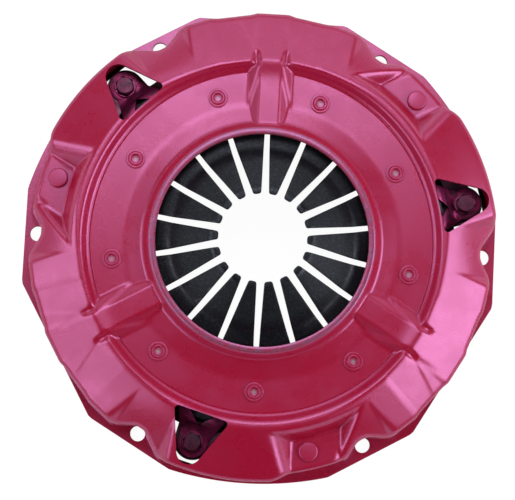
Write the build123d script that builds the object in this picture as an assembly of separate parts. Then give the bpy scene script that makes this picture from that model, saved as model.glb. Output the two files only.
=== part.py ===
from build123d import *
import math
import os

# Push-type diaphragm clutch cover assembly, lying flange down.
# Millimetres. The origin is on the clutch axis at the flange face, and +Z points to the release bearing.
# In the local layout the first radial rib lies at zero degrees; RIB_ANGLE turns the whole assembly.
RIB_ANGLE = 87.0
SECTORS = 3
SECTOR_PITCH = 360.0 / SECTORS

# Pressed steel cover: edges of the flange and foot of the wall, from the circle of mounting screws
SHEET = 3.5
BOLT_CIRCLE_R = 147.65
BOLT_HOLE_R = 4.95
HOLE_ANGLE = 30.0
FLANGE_EDGE = 11.55
RIB_EDGE = 3.65
HOLE_EDGE = 8.15
SIDE_EDGE = 8.75
WALL_EDGE = 5.95
FACET_EDGE = 2.65
SCREW_CLEARANCE = 5.35
FLANGE_R = BOLT_CIRCLE_R + FLANGE_EDGE
RIB_FLAT = BOLT_CIRCLE_R + RIB_EDGE
HOLE_FLAT = BOLT_CIRCLE_R + HOLE_EDGE
SIDE_R = BOLT_CIRCLE_R + SIDE_EDGE
SIDE_ARC_R = 210.0
WALL_R = BOLT_CIRCLE_R + WALL_EDGE
FACET_WALL = BOLT_CIRCLE_R + FACET_EDGE
VALLEY_R = BOLT_CIRCLE_R - SCREW_CLEARANCE

# Circles that follow inwards from the wall: strap bolts and rivets, plate, ridge, pivot rivets, opening
BOLT_INSET = 18.0
STRAP_BOLT_R = WALL_R - BOLT_INSET
RIVET_INSET = 16.0
STRAP_RIVET_R = WALL_R - RIVET_INSET
PLATE_INSET = 8.1
PLATE_R = STRAP_BOLT_R - PLATE_INSET
RIDGE_INSET = 10.0
RIDGE_R = PLATE_R - RIDGE_INSET
RIM_OVERHANG = 2.5
SPRING_RIM_R = RIDGE_R + RIM_OVERHANG
LEVER_ARM = 20.9
RIVET_CIRCLE_R = RIDGE_R - LEVER_ARM
FACE_W = 35.5
PLATE_BORE_R = RIDGE_R - FACE_W
LIP_DEPTH = 28.6
OPENING_R = RIVET_CIRCLE_R - LIP_DEPTH

# Plate and pan heights, from the friction face up
FACE_Z = 4.0
PLATE_T = 12.1
PLATE_BACK_Z = FACE_Z + PLATE_T
LUG_RISE = 3.0
LUG_TOP_Z = PLATE_BACK_Z + LUG_RISE
PAN_RISE = 21.9
PAN_Z = PLATE_BACK_Z + PAN_RISE

# Turned profile of the cover: lip, pan, step, crest and wall, with the fillets of its corners
LIP_TOP_W = 3.8
LIP_TOP_R = OPENING_R + LIP_TOP_W
LIP_RISE = 8.4
LIP_TOP_Z = PAN_Z + LIP_RISE
LIP_FILLET = 1.5
CREASE_W = 8.5
CREASE_R = OPENING_R + CREASE_W
CREASE_RISE = 2.2
CREASE_Z = PAN_Z + CREASE_RISE
CREASE_FILLET = 2.0
PAN_INNER_GAP = 8.1
PAN_INNER_R = RIVET_CIRCLE_R - PAN_INNER_GAP
PAN_INNER_FILLET = 8.0
PAN_OUTER_GAP = 13.2
PAN_OUTER_R = RIVET_CIRCLE_R + PAN_OUTER_GAP
PAN_OUTER_FILLET = 1.0
STEP_W = 5.2
STEP_TOP_R = PAN_OUTER_R + STEP_W
CREST_W = 4.5
CREST_R = STEP_TOP_R + CREST_W
CREST_RISE = 5.5
CREST_Z = PAN_Z + CREST_RISE
STEP_FILLET = 3.0
CREST_FILLET = 6.0
BEND_DROP = 6.0
BEND_Z = PAN_Z - BEND_DROP
BEND_FILLET = 4.0
TIGHTEST_FILLET = 0.4

# Faceted wall beside each rib, and the valleys that clear the mounting screws
FACET_BEND_DROP = 1.0
FACET_BEND_Z = BEND_Z - FACET_BEND_DROP
FACET_SLOPE = 20.5
FACET_RAISE = 1.1
CENTRE_FACET_HALF = 4.7
SIDE_FACET_END = 14.8
FACETS_END = 23.8
VALLEY_HALF = 1.4
VALLEY_SLOPE = 34.0
VALLEY_END = 37.0
ARC_START = 39.0
ARC_CLEARANCE = 4.0
CLEAR_R = WALL_R + ARC_CLEARANCE

# Radial ribs
RIB_RISE = 4.2
RIB_TOP_Z = PAN_Z + RIB_RISE
RIB_TOP_W = 15.0
RIB_FOOT_W = 24.0
RIB_CLIMB_START = 1.8
RIB_CLIMB_R = PAN_OUTER_R - RIB_CLIMB_START
CROWN_START = 2.0
CROWN_R = STEP_TOP_R + CROWN_START
CROWN_RISE = 1.8
CROWN_Z = RIB_TOP_Z + CROWN_RISE
CROWN_W = 18.0
CROWN_DRAW_IN = 0.5

# Windows over the strap bolts
WINDOW_ANGLE = 44.0
WINDOW_INNER_GAP = 19.1
WINDOW_INNER_R = STRAP_BOLT_R - WINDOW_INNER_GAP
WINDOW_NOSE_GAP = 14.4
WINDOW_NOSE_R = STRAP_BOLT_R + WINDOW_NOSE_GAP
WINDOW_W = 35.0
WINDOW_CORNER_R = 2.6
WINDOW_NOSE_RADIUS = 6.4
WINDOW_START_Z = SHEET * 3

# Drive straps, and the pads that carry their cover ends
LEAF_T = 0.8
LEAVES = 3
STACK_T = LEAF_T * LEAVES
STRAP_RISE = 4.1
PAD_STRAP_Z = LUG_TOP_Z + STRAP_RISE
PAD_ANGLE = 75.5
PAD_Z = PAD_STRAP_Z + STACK_T + SHEET
PAD_INNER_GAP = 8.6
PAD_INNER_R = STRAP_RIVET_R - PAD_INNER_GAP
PAD_WINDOW_SIDE = 11.2
PAD_VALLEY_SIDE = 19.0
PAD_WALL_RISE = 16.0
PAD_INNER_LEAN = 6.0
PAD_WINDOW_LEAN = 13.0
PAD_VALLEY_LEAN = 9.6
STRAP_W = 15.0
STRAP_FLAT = 15.5
STRAP_BEND_R = 30.0
STRAP_HOLE_GAP = 0.2

# Diaphragm spring
SPRING_T = 2.8
SPRING_CONE = 12.0
BEND_GAP = 9.0
SPRING_BEND_R = OPENING_R - BEND_GAP
SPRING_BEND_FILLET = 8.0
FINGER_TIP_R = 27.9
FINGER_SLOPE = 36.0
TIP_CURL_W = 3.6
TIP_CURL_R = FINGER_TIP_R + TIP_CURL_W
TIP_CURL_FILLET = 3.0
FINGERS = 18
SLOT_TIP_W = 4.9
SLOT_END_W = 2.4
SLOT_MOUTH_FLARE = 2.0
SLOT_HOLE_R = 4.4

# Pivot rivets and wire rings
PIVOT_RIVETS = 9
RIVET_SHANK_R = 3.6
RIVET_FOOT_R = 7.2
RIVET_FOOT_T = 2.2
RIVET_CAP_R = 6.2
RIVET_CAP_T = 1.0
RIVET_CROWN_R = 4.4
RIVET_CROWN_T = 0.9
RIVET_DIMPLE_R = 2.6
WIRE_R = 1.75
FIT = 0.05
WIRE_GAP = 0.15

# Pressure plate: fulcrum ridge and lugs
RIDGE_W = 6.0
RIDGE_BEVEL = 2.0
RIDGE_FOOT_OUT = 1.0
RIDGE_FOOT_IN = 2.0
BODY_GAP = 0.3
LUG_T = 9.6
LUG_BOTTOM_Z = PLATE_BACK_Z - LUG_T
LUG_ROOT_W = 25.0
LUG_ROOT_DEPTH = 6.0
LUG_ROOT_T = 1.0
LUG_NOSE_R = 12.0

# Strap rivets, strap bolts, washers and the retracting clips
STRAP_RIVET_SHANK_R = 4.0
STRAP_RIVET_HEAD_R = 6.3
STRAP_RIVET_HEAD_T = 2.4
STRAP_RIVET_EDGE = 1.44
BOLT_SHANK_R = 3.5
BOLT_AF = 11.1
BOLT_HEAD_T = 4.6
BOLT_BEVEL = 0.15
BOLT_BEVEL_RISE = 0.6
BOLT_DEPTH = 8.0
BORE_RUNOUT = 1.0
WASHER_R = 7.2
WASHER_T = 1.5
WASHER_SPLIT = 1.6
WASHER_SPLIT_LEAN = 25.0
CLIP_T = 1.6
CLIP_NOSE_R = 8.0
CLIP_REACH = 4.8
CLIP_TOE_R = SPRING_RIM_R - CLIP_REACH
CLIP_TOE_W = 32.0
CLIP_TOE_T = 2.0
CLIP_NOTCH = 11.5
CLIP_NOTCH_ANGLE = 47.0
CLIP_FLAT = 8.6
CLIP_LEVEL = 0.5
CLIP_CLIMB_R = SPRING_RIM_R - CLIP_LEVEL
CLIP_BLANK_OVERRUN = 5.0

# Heights that follow from the stack under the pan and on the lugs
TILT = math.tan(math.radians(SPRING_CONE))
PIVOT_R = RIVET_CIRCLE_R + RIVET_SHANK_R + WIRE_R + WIRE_GAP
WIRE_OFFSET = (SPRING_T / 2 + WIRE_R + FIT) / math.cos(math.radians(SPRING_CONE))
UPPER_WIRE_Z = PAN_Z - SHEET - WIRE_R - FIT
PIVOT_Z = UPPER_WIRE_Z - WIRE_OFFSET
LOWER_WIRE_Z = PIVOT_Z - WIRE_OFFSET
FOOT_TOP_Z = LOWER_WIRE_Z - WIRE_R - FIT
SPRING_HALF = SPRING_T / 2 / math.cos(math.radians(SPRING_CONE))
CLIP_Z = LUG_TOP_Z + STACK_T
WASHER_Z = CLIP_Z + CLIP_T
HEAD_Z = WASHER_Z + WASHER_T

# Reach and height of the cutting tools, beyond the whole part
REACH = FLANGE_R * 1.4
TALL = LIP_TOP_Z * 1.75


def polar(radius, angle):
    return (radius * math.cos(math.radians(angle)), radius * math.sin(math.radians(angle)))


def spring_z(radius):
    # Height of the middle of the spring's cone at a radius
    return PIVOT_Z + (PIVOT_R - radius) * TILT


def around(shape, angle=0.0):
    # One copy of a local shape in each sector
    return [Rot(0, 0, angle + SECTOR_PITCH * k) * shape for k in range(SECTORS)]


def shifted_path(points, distance):
    # Open polyline moved sideways by a distance, to the right of its direction
    moved = []
    normals = []
    for (x0, y0), (x1, y1) in zip(points, points[1:]):
        length = math.hypot(x1 - x0, y1 - y0)
        normals.append(((y1 - y0) / length, (x0 - x1) / length))
    for i, (x, y) in enumerate(points):
        before = normals[max(i - 1, 0)]
        after = normals[min(i, len(normals) - 1)]
        share = 1.0 + before[0] * after[0] + before[1] * after[1]
        moved.append((x + distance * (before[0] + after[0]) / share,
                      y + distance * (before[1] + after[1]) / share))
    return moved


def outer_fillet(radius, inset):
    # Radius of a rounded edge after its skin is moved inwards
    return max(radius - inset, TIGHTEST_FILLET)


def dome(inset):
    # Turned form of the cover: lip, sunken pan, crest and conical wall
    outline = [(0, LIP_TOP_Z), (LIP_TOP_R, LIP_TOP_Z), (CREASE_R, CREASE_Z), (PAN_INNER_R, PAN_Z),
               (PAN_OUTER_R, PAN_Z), (STEP_TOP_R, CREST_Z), (CREST_R, CREST_Z), (WALL_R, BEND_Z),
               (WALL_R, -TALL)]
    path = shifted_path(outline, inset)
    path[0] = (0, path[0][1])
    rounds = [outer_fillet(LIP_FILLET, inset), CREASE_FILLET + inset, PAN_INNER_FILLET + inset,
              PAN_OUTER_FILLET + inset, outer_fillet(STEP_FILLET, inset), outer_fillet(CREST_FILLET, inset),
              outer_fillet(BEND_FILLET, inset)]
    top = FilletPolyline(*[Vector(x, 0, z) for x, z in path], radius=rounds)
    end_r = path[-1][0]
    sides = Polyline((end_r, 0, -TALL), (0, 0, -TALL), (0, 0, path[0][1]))
    return revolve(make_face(top.edges() + sides.edges()), Axis.Z)


def facet_list():
    # Start angle, end angle and wall distance of the five flats beside each rib
    low = FACET_WALL - FACET_RAISE
    return [(-FACETS_END, -SIDE_FACET_END, FACET_WALL), (-SIDE_FACET_END, -CENTRE_FACET_HALF, low),
            (-CENTRE_FACET_HALF, CENTRE_FACET_HALF, FACET_WALL), (CENTRE_FACET_HALF, SIDE_FACET_END, low),
            (SIDE_FACET_END, FACETS_END, FACET_WALL)]


def plan(inset):
    # Outline of the wall beside the ribs and round the screws; between them it runs clear of the wall
    edges = []
    last = None
    for k in range(SECTORS):
        turn = SECTOR_PITCH * k
        points = []
        for start, end, wall in facet_list():
            corner = wall / math.cos(math.radians((end - start) / 2))
            points += [polar(corner, turn + start), polar(corner, turn + end)]
        points += [polar(VALLEY_R, turn + HOLE_ANGLE + side * VALLEY_HALF) for side in (-1, 1)]
        points.append(polar(CLEAR_R, turn + ARC_START))
        if last:
            points.insert(0, last)
        edges += Polyline(*points).edges()
        far = SECTOR_PITCH - ARC_START
        arc = ThreePointArc(points[-1], polar(CLEAR_R, turn + SECTOR_PITCH / 2), polar(CLEAR_R, turn + far))
        edges += arc.edges()
        ends = [polar(VALLEY_R, turn + SECTOR_PITCH - HOLE_ANGLE + side * VALLEY_HALF) for side in (-1, 1)]
        edges += Polyline(polar(CLEAR_R, turn + far), *ends).edges()
        last = ends[-1]
    start, end, wall = facet_list()[0]
    first = polar(wall / math.cos(math.radians((end - start) / 2)), start)
    edges += Line(last, first).edges()
    face = make_face(edges)
    if inset:
        face = offset(face, -inset, kind=Kind.INTERSECTION)
    return face


def wedge(start, end, widen):
    # Angular slice of space, wider by a distance on both sides
    reach = REACH / math.cos(math.radians((end - start) / 2))
    slice_face = Polygon((0, 0), polar(reach, start), polar(reach, end), align=None)
    if widen:
        slice_face = offset(slice_face, widen, kind=Kind.INTERSECTION)
    return extrude(slice_face, TALL)


def slope_cut(start, end, wall, bend_z, slope, inset, widen):
    # Everything outside a sloping flat, within its slice
    middle = (start + end) / 2
    lean = math.radians(slope)
    normal = Vector(*polar(math.sin(lean), middle), math.cos(lean))
    foot = Vector(*polar(wall, middle), bend_z) - normal * inset
    across = Vector(*polar(1.0, middle + 90))
    slab = Plane(origin=foot, x_dir=across, z_dir=normal) * Box(
        REACH, REACH, TALL, align=(Align.CENTER, Align.CENTER, Align.MIN))
    return slab & wedge(start, end, widen)


def rib(inset):
    # Radial rib across the pan with sloping flanks, and its crown on the crest
    rise = RIB_TOP_Z - PAN_Z
    flare = (RIB_FOOT_W - RIB_TOP_W) / 2
    top = RIB_TOP_W / 2 - inset * math.tan(math.atan2(rise, flare) / 2)
    high = RIB_TOP_Z - inset
    section = Polygon((top, high), (-top, high), (-top - flare, high - rise), (-top - flare, high - 3 * rise),
                      (top + flare, high - 3 * rise), (top + flare, high - rise), align=None)
    bar = Plane(origin=(OPENING_R, 0, 0), x_dir=(0, 1, 0), z_dir=(1, 0, 0)) * extrude(section, CROWN_R - OPENING_R)
    climb = shifted_path([(OPENING_R, RIB_TOP_Z), (RIB_CLIMB_R, RIB_TOP_Z), (CROWN_R, CROWN_Z),
                          (REACH, CROWN_Z)], inset)[1:3]
    side = Polygon((RIB_CLIMB_R - rise, high - 2 * rise), climb[0], climb[1], (VALLEY_R, climb[1][1]),
                   (VALLEY_R, high - 2 * rise), align=None)
    crown = Plane.XZ * extrude(side, CROWN_W / 2 - inset * CROWN_DRAW_IN, both=True)
    return bar + crown


def pad_plan(inner, low_side, high_side):
    # Plan of the pocket above a strap pad, from its inner edge out past the wall
    length = WALL_R + SHEET - inner
    return Location((inner + length / 2, (high_side - low_side) / 2, 0)) * Rectangle(length, low_side + high_side)


def pocket(inset):
    # Space above a pad: its walls lean out from the floor, least towards the axis
    floor = pad_plan(PAD_INNER_R - inset, PAD_WINDOW_SIDE + inset, PAD_VALLEY_SIDE + inset)
    mouth = pad_plan(PAD_INNER_R - inset - PAD_INNER_LEAN, PAD_WINDOW_SIDE + inset + PAD_WINDOW_LEAN,
                     PAD_VALLEY_SIDE + inset + PAD_VALLEY_LEAN)
    low = PAD_Z - inset
    space = loft([Location((0, 0, low)) * floor, Location((0, 0, low + PAD_WALL_RISE)) * mouth], ruled=True)
    return Rot(0, 0, PAD_ANGLE) * space


def form(inset):
    # Solid form under the cover's skin; the skin is the form less the same form inset by the sheet
    body = dome(inset) + around(rib(inset))
    body &= extrude(plan(inset), TALL, both=True)
    tools = []
    for start, end, wall in facet_list():
        tools += around(slope_cut(start, end, wall, FACET_BEND_Z, FACET_SLOPE, inset, 0.0))
    for start, end in ((FACETS_END, VALLEY_END), (-VALLEY_END, -FACETS_END)):
        tools += around(slope_cut(start, end, VALLEY_R, FACET_BEND_Z, VALLEY_SLOPE, inset, inset))
    tools += around(pocket(inset))
    return body - tools


def flange():
    plate = Circle(FLANGE_R)
    for angle, flat in ((0, RIB_FLAT), (HOLE_ANGLE, HOLE_FLAT), (-HOLE_ANGLE, HOLE_FLAT)):
        beyond = Location((flat + REACH / 2, 0, 0)) * Rectangle(REACH, REACH)
        for tool in around(beyond, angle):
            plate -= tool
    arc = Location((SIDE_R - SIDE_ARC_R, 0, 0)) * Circle(SIDE_ARC_R)
    for tool in around(arc, SECTOR_PITCH / 2):
        plate &= tool
    return extrude(plate, SHEET)


def window():
    corner_x = WINDOW_INNER_R + WINDOW_CORNER_R
    corner_y = WINDOW_W / 2 - WINDOW_CORNER_R
    rounds = [Location((corner_x, side * corner_y, 0)) * Circle(WINDOW_CORNER_R) for side in (-1, 1)]
    rounds.append(Location((WINDOW_NOSE_R - WINDOW_NOSE_RADIUS, 0, 0)) * Circle(WINDOW_NOSE_RADIUS))
    outline = make_hull([edge for ring in rounds for edge in ring.edges()])
    return Rot(0, 0, WINDOW_ANGLE) * Location((0, 0, WINDOW_START_Z)) * extrude(outline, TALL)


def post(radius, angle, size):
    return Location((*polar(radius, angle), 0)) * Cylinder(
        size, TALL, align=(Align.CENTER, Align.CENTER, Align.MIN))


def clutch_cover():
    cover = form(0) & Box(2 * REACH, 2 * REACH, TALL, align=(Align.CENTER, Align.CENTER, Align.MIN))
    cover += flange()
    cover -= form(SHEET)
    cover -= post(0, 0, OPENING_R)
    for tool in around(window()):
        cover -= tool
    for side in (-1, 1):
        for tool in around(post(BOLT_CIRCLE_R, side * HOLE_ANGLE, BOLT_HOLE_R)):
            cover -= tool
    for tool in around(post(STRAP_RIVET_R, PAD_ANGLE, STRAP_RIVET_SHANK_R + FIT)):
        cover -= tool
    for angle in rivet_angles():
        cover -= post(RIVET_CIRCLE_R, angle, RIVET_SHANK_R + FIT)
    return cover


def rivet_angles():
    pitch = 360.0 / PIVOT_RIVETS
    return [pitch * (k + 0.5) for k in range(PIVOT_RIVETS)]


def finger_slot():
    # Plan of one slot: wide between the tips, narrow at the rivet that passes its round end
    mouth = (SLOT_TIP_W + SLOT_MOUTH_FLARE) / 2
    slot = Polygon((0, -mouth), (FINGER_TIP_R, -SLOT_TIP_W / 2), (RIVET_CIRCLE_R, -SLOT_END_W / 2),
                   (RIVET_CIRCLE_R, SLOT_END_W / 2), (FINGER_TIP_R, SLOT_TIP_W / 2), (0, mouth), align=None)
    return slot + Location((RIVET_CIRCLE_R, 0, 0)) * Circle(SLOT_HOLE_R)


def diaphragm_spring():
    slope = math.radians(FINGER_SLOPE)
    run = SPRING_BEND_R - TIP_CURL_R
    tip_z = spring_z(SPRING_BEND_R) + run * math.tan(slope)
    points = [(SPRING_RIM_R, spring_z(SPRING_RIM_R)), (SPRING_BEND_R, spring_z(SPRING_BEND_R)),
              (TIP_CURL_R, tip_z), (FINGER_TIP_R, tip_z)]
    upper = [Vector(x, 0, z) for x, z in shifted_path(points, SPRING_T / 2)]
    lower = [Vector(x, 0, z) for x, z in shifted_path(points, -SPRING_T / 2)]
    room = run / math.cos(slope) / 3
    bend = min(SPRING_BEND_FILLET, room / math.tan((slope - math.radians(SPRING_CONE)) / 2) - SPRING_T)
    curl = min(TIP_CURL_FILLET, room / math.tan(slope / 2) - SPRING_T)
    top = FilletPolyline(*upper, radius=[bend, curl + SPRING_T])
    under = FilletPolyline(*lower, radius=[bend + SPRING_T, curl])
    rim = Line(upper[0], lower[0])
    tip = Line(upper[-1], lower[-1])
    disc = revolve(make_face(top.edges() + under.edges() + rim.edges() + tip.edges()), Axis.Z)
    slot = finger_slot()
    tool = extrude(slot, TALL)
    for k in range(FINGERS):
        disc -= Rot(0, 0, 360.0 / FINGERS * k) * tool
    return disc


def pivot_ring(height):
    return Location((0, 0, height)) * Torus(PIVOT_R, WIRE_R)


def stud(layers, bottom):
    # Turned stack of discs, given as radius and thickness from the bottom up
    solid = None
    for radius, thick in layers:
        disc = Location((0, 0, bottom)) * Cylinder(
            radius, thick, align=(Align.CENTER, Align.CENTER, Align.MIN))
        solid = disc if solid is None else solid + disc
        bottom += thick
    return solid


def pivot_rivet():
    shank = PAN_Z - FOOT_TOP_Z
    rivet = stud([(RIVET_FOOT_R, RIVET_FOOT_T), (RIVET_SHANK_R, shank), (RIVET_CAP_R, RIVET_CAP_T),
                  (RIVET_CROWN_R, RIVET_CROWN_T)], FOOT_TOP_Z - RIVET_FOOT_T)
    top = PAN_Z + RIVET_CAP_T + RIVET_CROWN_T
    dimple = Location((0, 0, top)) * Cylinder(RIVET_DIMPLE_R, 2 * RIVET_CROWN_T)
    return rivet - dimple


def pivot_rivets():
    rivet = pivot_rivet()
    return Compound([Location((*polar(RIVET_CIRCLE_R, a), 0)) * rivet for a in rivet_angles()])


def pressure_plate():
    half = RIDGE_W / 2
    ridge_z = spring_z(RIDGE_R + half / 2) - SPRING_HALF - BODY_GAP
    section = Polygon((PLATE_BORE_R, FACE_Z), (PLATE_R, FACE_Z), (PLATE_R, PLATE_BACK_Z),
                      (RIDGE_R + half + RIDGE_FOOT_OUT, PLATE_BACK_Z), (RIDGE_R + half, ridge_z - RIDGE_BEVEL),
                      (RIDGE_R + half / 2, ridge_z), (RIDGE_R - half / 2, ridge_z),
                      (RIDGE_R - half, ridge_z - RIDGE_BEVEL), (RIDGE_R - half - RIDGE_FOOT_IN, PLATE_BACK_Z),
                      (PLATE_BORE_R, PLATE_BACK_Z), align=None)
    plate = revolve(Plane.XZ * section, Axis.Z)
    root = Location((PLATE_R - LUG_ROOT_DEPTH, 0, 0)) * Rectangle(LUG_ROOT_T, LUG_ROOT_W)
    nose = Location((STRAP_BOLT_R, 0, 0)) * Circle(LUG_NOSE_R)
    lug = Location((0, 0, LUG_BOTTOM_Z)) * extrude(make_hull(root.edges() + nose.edges()),
                                                  LUG_TOP_Z - LUG_BOTTOM_Z)
    for copy in around(lug, WINDOW_ANGLE):
        plate += copy
    bottom = LUG_TOP_Z - BOLT_DEPTH - BORE_RUNOUT
    bore = Location((STRAP_BOLT_R, 0, bottom)) * Cylinder(
        BOLT_SHANK_R + FIT, TALL, align=(Align.CENTER, Align.CENTER, Align.MIN))
    for tool in around(bore, WINDOW_ANGLE):
        plate -= tool
    return plate


def drive_strap(level):
    # One leaf, flat at both ends and sloping between; level 0 lies against the lug
    x0, y0 = polar(STRAP_BOLT_R, WINDOW_ANGLE)
    x1, y1 = polar(STRAP_RIVET_R, PAD_ANGLE)
    span = math.hypot(x1 - x0, y1 - y0)
    low = LUG_TOP_Z + level * LEAF_T
    high = PAD_STRAP_Z + level * LEAF_T
    path = [(-STRAP_W, low), (STRAP_FLAT, low), (span - STRAP_FLAT, high), (span + STRAP_W, high)]
    under = FilletPolyline(*path, radius=STRAP_BEND_R)
    over = Location((0, LEAF_T, 0)) * FilletPolyline(*path, radius=STRAP_BEND_R)
    ends = [Line((x, z), (x, z + LEAF_T)) for x, z in (path[0], path[-1])]
    face = make_face(under.edges() + over.edges() + ends[0].edges() + ends[1].edges())
    ribbon = extrude(Plane.XZ * face, STRAP_W / 2, both=True)
    outline = Location((span / 2, 0, 0)) * SlotCenterToCenter(span, STRAP_W)
    ribbon &= extrude(outline, TALL)
    ribbon -= post(0, 0, BOLT_SHANK_R + STRAP_HOLE_GAP)
    ribbon -= Location((span, 0, 0)) * Cylinder(STRAP_RIVET_SHANK_R + FIT, 2 * TALL)
    turn = math.degrees(math.atan2(y1 - y0, x1 - x0))
    return Location((x0, y0, 0)) * Rot(0, 0, turn) * ribbon


def strap_rivet():
    bottom = PAD_STRAP_Z - STRAP_RIVET_HEAD_T
    rivet = stud([(STRAP_RIVET_HEAD_R, STRAP_RIVET_HEAD_T), (STRAP_RIVET_SHANK_R, STACK_T + SHEET),
                  (STRAP_RIVET_HEAD_R, STRAP_RIVET_HEAD_T)], bottom)
    rims = rivet.edges().filter_by(GeomType.CIRCLE).group_by(Axis.Z)
    rivet = fillet(rims[-1] + rims[0], STRAP_RIVET_EDGE)
    return Location((*polar(STRAP_RIVET_R, PAD_ANGLE), 0)) * rivet


def strap_bolt():
    corner = BOLT_AF / math.sqrt(3)
    head = extrude(RegularPolygon(corner, 6), BOLT_HEAD_T)
    bevel = corner - BOLT_AF / 2 + BOLT_BEVEL
    cap = Cylinder(corner, BOLT_HEAD_T, align=(Align.CENTER, Align.CENTER, Align.MIN))
    cap = chamfer(cap.edges().group_by(Axis.Z)[-1], bevel * BOLT_BEVEL_RISE, bevel)
    head = Location((0, 0, HEAD_Z)) * (head & cap)
    bottom = LUG_TOP_Z - BOLT_DEPTH
    shank = stud([(BOLT_SHANK_R, HEAD_Z - bottom)], bottom)
    return Location((*polar(STRAP_BOLT_R, WINDOW_ANGLE), 0)) * (head + shank)


def lock_washer():
    ring = stud([(WASHER_R, WASHER_T)], WASHER_Z) - post(0, 0, BOLT_SHANK_R + STRAP_HOLE_GAP)
    split = Location((0, WASHER_R, WASHER_Z)) * Rot(0, WASHER_SPLIT_LEAN, 0) * Box(WASHER_SPLIT, 2 * WASHER_R, TALL)
    return Location((*polar(STRAP_BOLT_R, WINDOW_ANGLE), 0)) * Rot(0, 0, WINDOW_ANGLE) * (ring - split)


def retracting_clip():
    # Notched spring clip: clamped on the lug, with two toes over the rim of the spring
    nose = Location((STRAP_BOLT_R, 0, 0)) * Circle(CLIP_NOSE_R)
    toes = Location((CLIP_TOE_R + CLIP_TOE_T / 2, 0, 0)) * Rectangle(CLIP_TOE_T, CLIP_TOE_W)
    outline = make_hull(nose.edges() + toes.edges())
    apex = STRAP_BOLT_R - CLIP_NOTCH
    deep = apex - CLIP_TOE_R + CLIP_BLANK_OVERRUN
    wide = deep * math.tan(math.radians(CLIP_NOTCH_ANGLE))
    outline -= Polygon((apex, 0), (apex - deep, wide), (apex - deep, -wide), align=None)
    toe_z = spring_z(CLIP_TOE_R) + SPRING_HALF + BODY_GAP
    path = [(STRAP_BOLT_R + CLIP_NOSE_R + CLIP_BLANK_OVERRUN, CLIP_Z), (STRAP_BOLT_R - CLIP_FLAT, CLIP_Z),
            (CLIP_CLIMB_R, toe_z), (CLIP_TOE_R - CLIP_BLANK_OVERRUN, toe_z)]
    upper = shifted_path(path, CLIP_T)
    side = Polygon(*path, *reversed(upper), align=None)
    sheet = extrude(Plane.XZ * side, REACH / 4, both=True)
    clip = sheet & extrude(outline, TALL)
    clip -= post(STRAP_BOLT_R, 0, BOLT_SHANK_R + STRAP_HOLE_GAP)
    return Rot(0, 0, WINDOW_ANGLE) * clip


def assembly():
    # Node name and solid of every piece, in the local layout
    pieces = {
        "clutch_cover": clutch_cover(),
        "diaphragm_spring": diaphragm_spring(),
        "upper_pivot_ring": pivot_ring(UPPER_WIRE_Z),
        "lower_pivot_ring": pivot_ring(LOWER_WIRE_Z),
        "pivot_rivets": pivot_rivets(),
        "pressure_plate": pressure_plate(),
    }
    sets = {"strap_rivet": strap_rivet(), "strap_bolt": strap_bolt(), "lock_washer": lock_washer(),
            "retracting_clip": retracting_clip()}
    leaves = ["lower", "middle", "upper"]
    for level in range(LEAVES):
        sets["drive_strap_" + leaves[level]] = drive_strap(level)
    for name, shape in sets.items():
        for k, copy in enumerate(around(shape)):
            pieces[f"{name}_{k + 1}"] = copy
    return pieces


os.makedirs("parts", exist_ok=True)
for node, piece in assembly().items():
    export_step(Rot(0, 0, RIB_ANGLE) * piece, f"parts/{node}.step")
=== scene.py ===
"""Looks of a diaphragm clutch cover assembly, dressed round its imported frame.

Lengths are metres and angles are degrees. The origin is on the clutch axis at the flange face, and +Z points to
the release bearing. In local layouts the first radial rib lies along +X; RIB_ANGLE turns them into the frame.
"""
import logging
import math
from dataclasses import dataclass
from enum import Enum

import bmesh
import bpy
import numpy as np
from mathutils import Euler, Matrix, Vector


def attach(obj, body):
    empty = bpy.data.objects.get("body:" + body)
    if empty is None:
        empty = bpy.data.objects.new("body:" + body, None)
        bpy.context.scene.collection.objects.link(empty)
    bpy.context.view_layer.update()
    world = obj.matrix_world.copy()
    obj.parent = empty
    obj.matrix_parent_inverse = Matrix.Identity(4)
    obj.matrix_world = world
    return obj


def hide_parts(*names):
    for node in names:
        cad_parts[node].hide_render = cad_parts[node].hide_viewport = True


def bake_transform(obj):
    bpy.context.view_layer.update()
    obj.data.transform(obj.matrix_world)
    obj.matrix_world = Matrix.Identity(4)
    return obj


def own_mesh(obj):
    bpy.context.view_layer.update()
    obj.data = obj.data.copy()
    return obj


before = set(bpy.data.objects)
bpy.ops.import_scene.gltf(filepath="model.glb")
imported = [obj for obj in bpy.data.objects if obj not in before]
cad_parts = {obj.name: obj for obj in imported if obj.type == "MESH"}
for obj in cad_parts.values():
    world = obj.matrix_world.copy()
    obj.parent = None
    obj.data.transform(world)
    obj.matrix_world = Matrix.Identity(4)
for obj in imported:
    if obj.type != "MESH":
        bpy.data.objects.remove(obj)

LOG = logging.getLogger("clutch_cover")

RIB_ANGLE = 87.0
SECTORS = 3
SECTOR_PITCH = 360.0 / SECTORS
HALF_PITCH = SECTOR_PITCH / 2

Color = tuple[float, float, float]
Point2 = tuple[float, float]
Point3 = tuple[float, float, float]
Values = np.ndarray | float

PAINT_COLOR: Color = (0.39, 0.004, 0.028)
PAINT_FLAKE: Color = (0.5, 0.02, 0.08)
PAINT_GLEAM: Color = (1.0, 0.42, 0.95)
PAINT_IOR = 2.2
POINT_GAP = 1e-7
FINE_GAP = 1e-8


class Body(Enum):
    """The two bodies that pieces ride on."""

    COVER = "cover"
    PLATE = "plate"


class Slot(Enum):
    """Material slots of the record."""

    COVER_PAINT = "cover_paint"
    SPRING = "spring_steel"
    RING = "ring_steel"
    RIVET = "painted_rivet"
    IRON = "cast_iron"
    STRAP = "strap_steel"
    BOLT = "strap_bolt"
    WASHER = "washer_steel"
    CLIP = "clip_steel"


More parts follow.
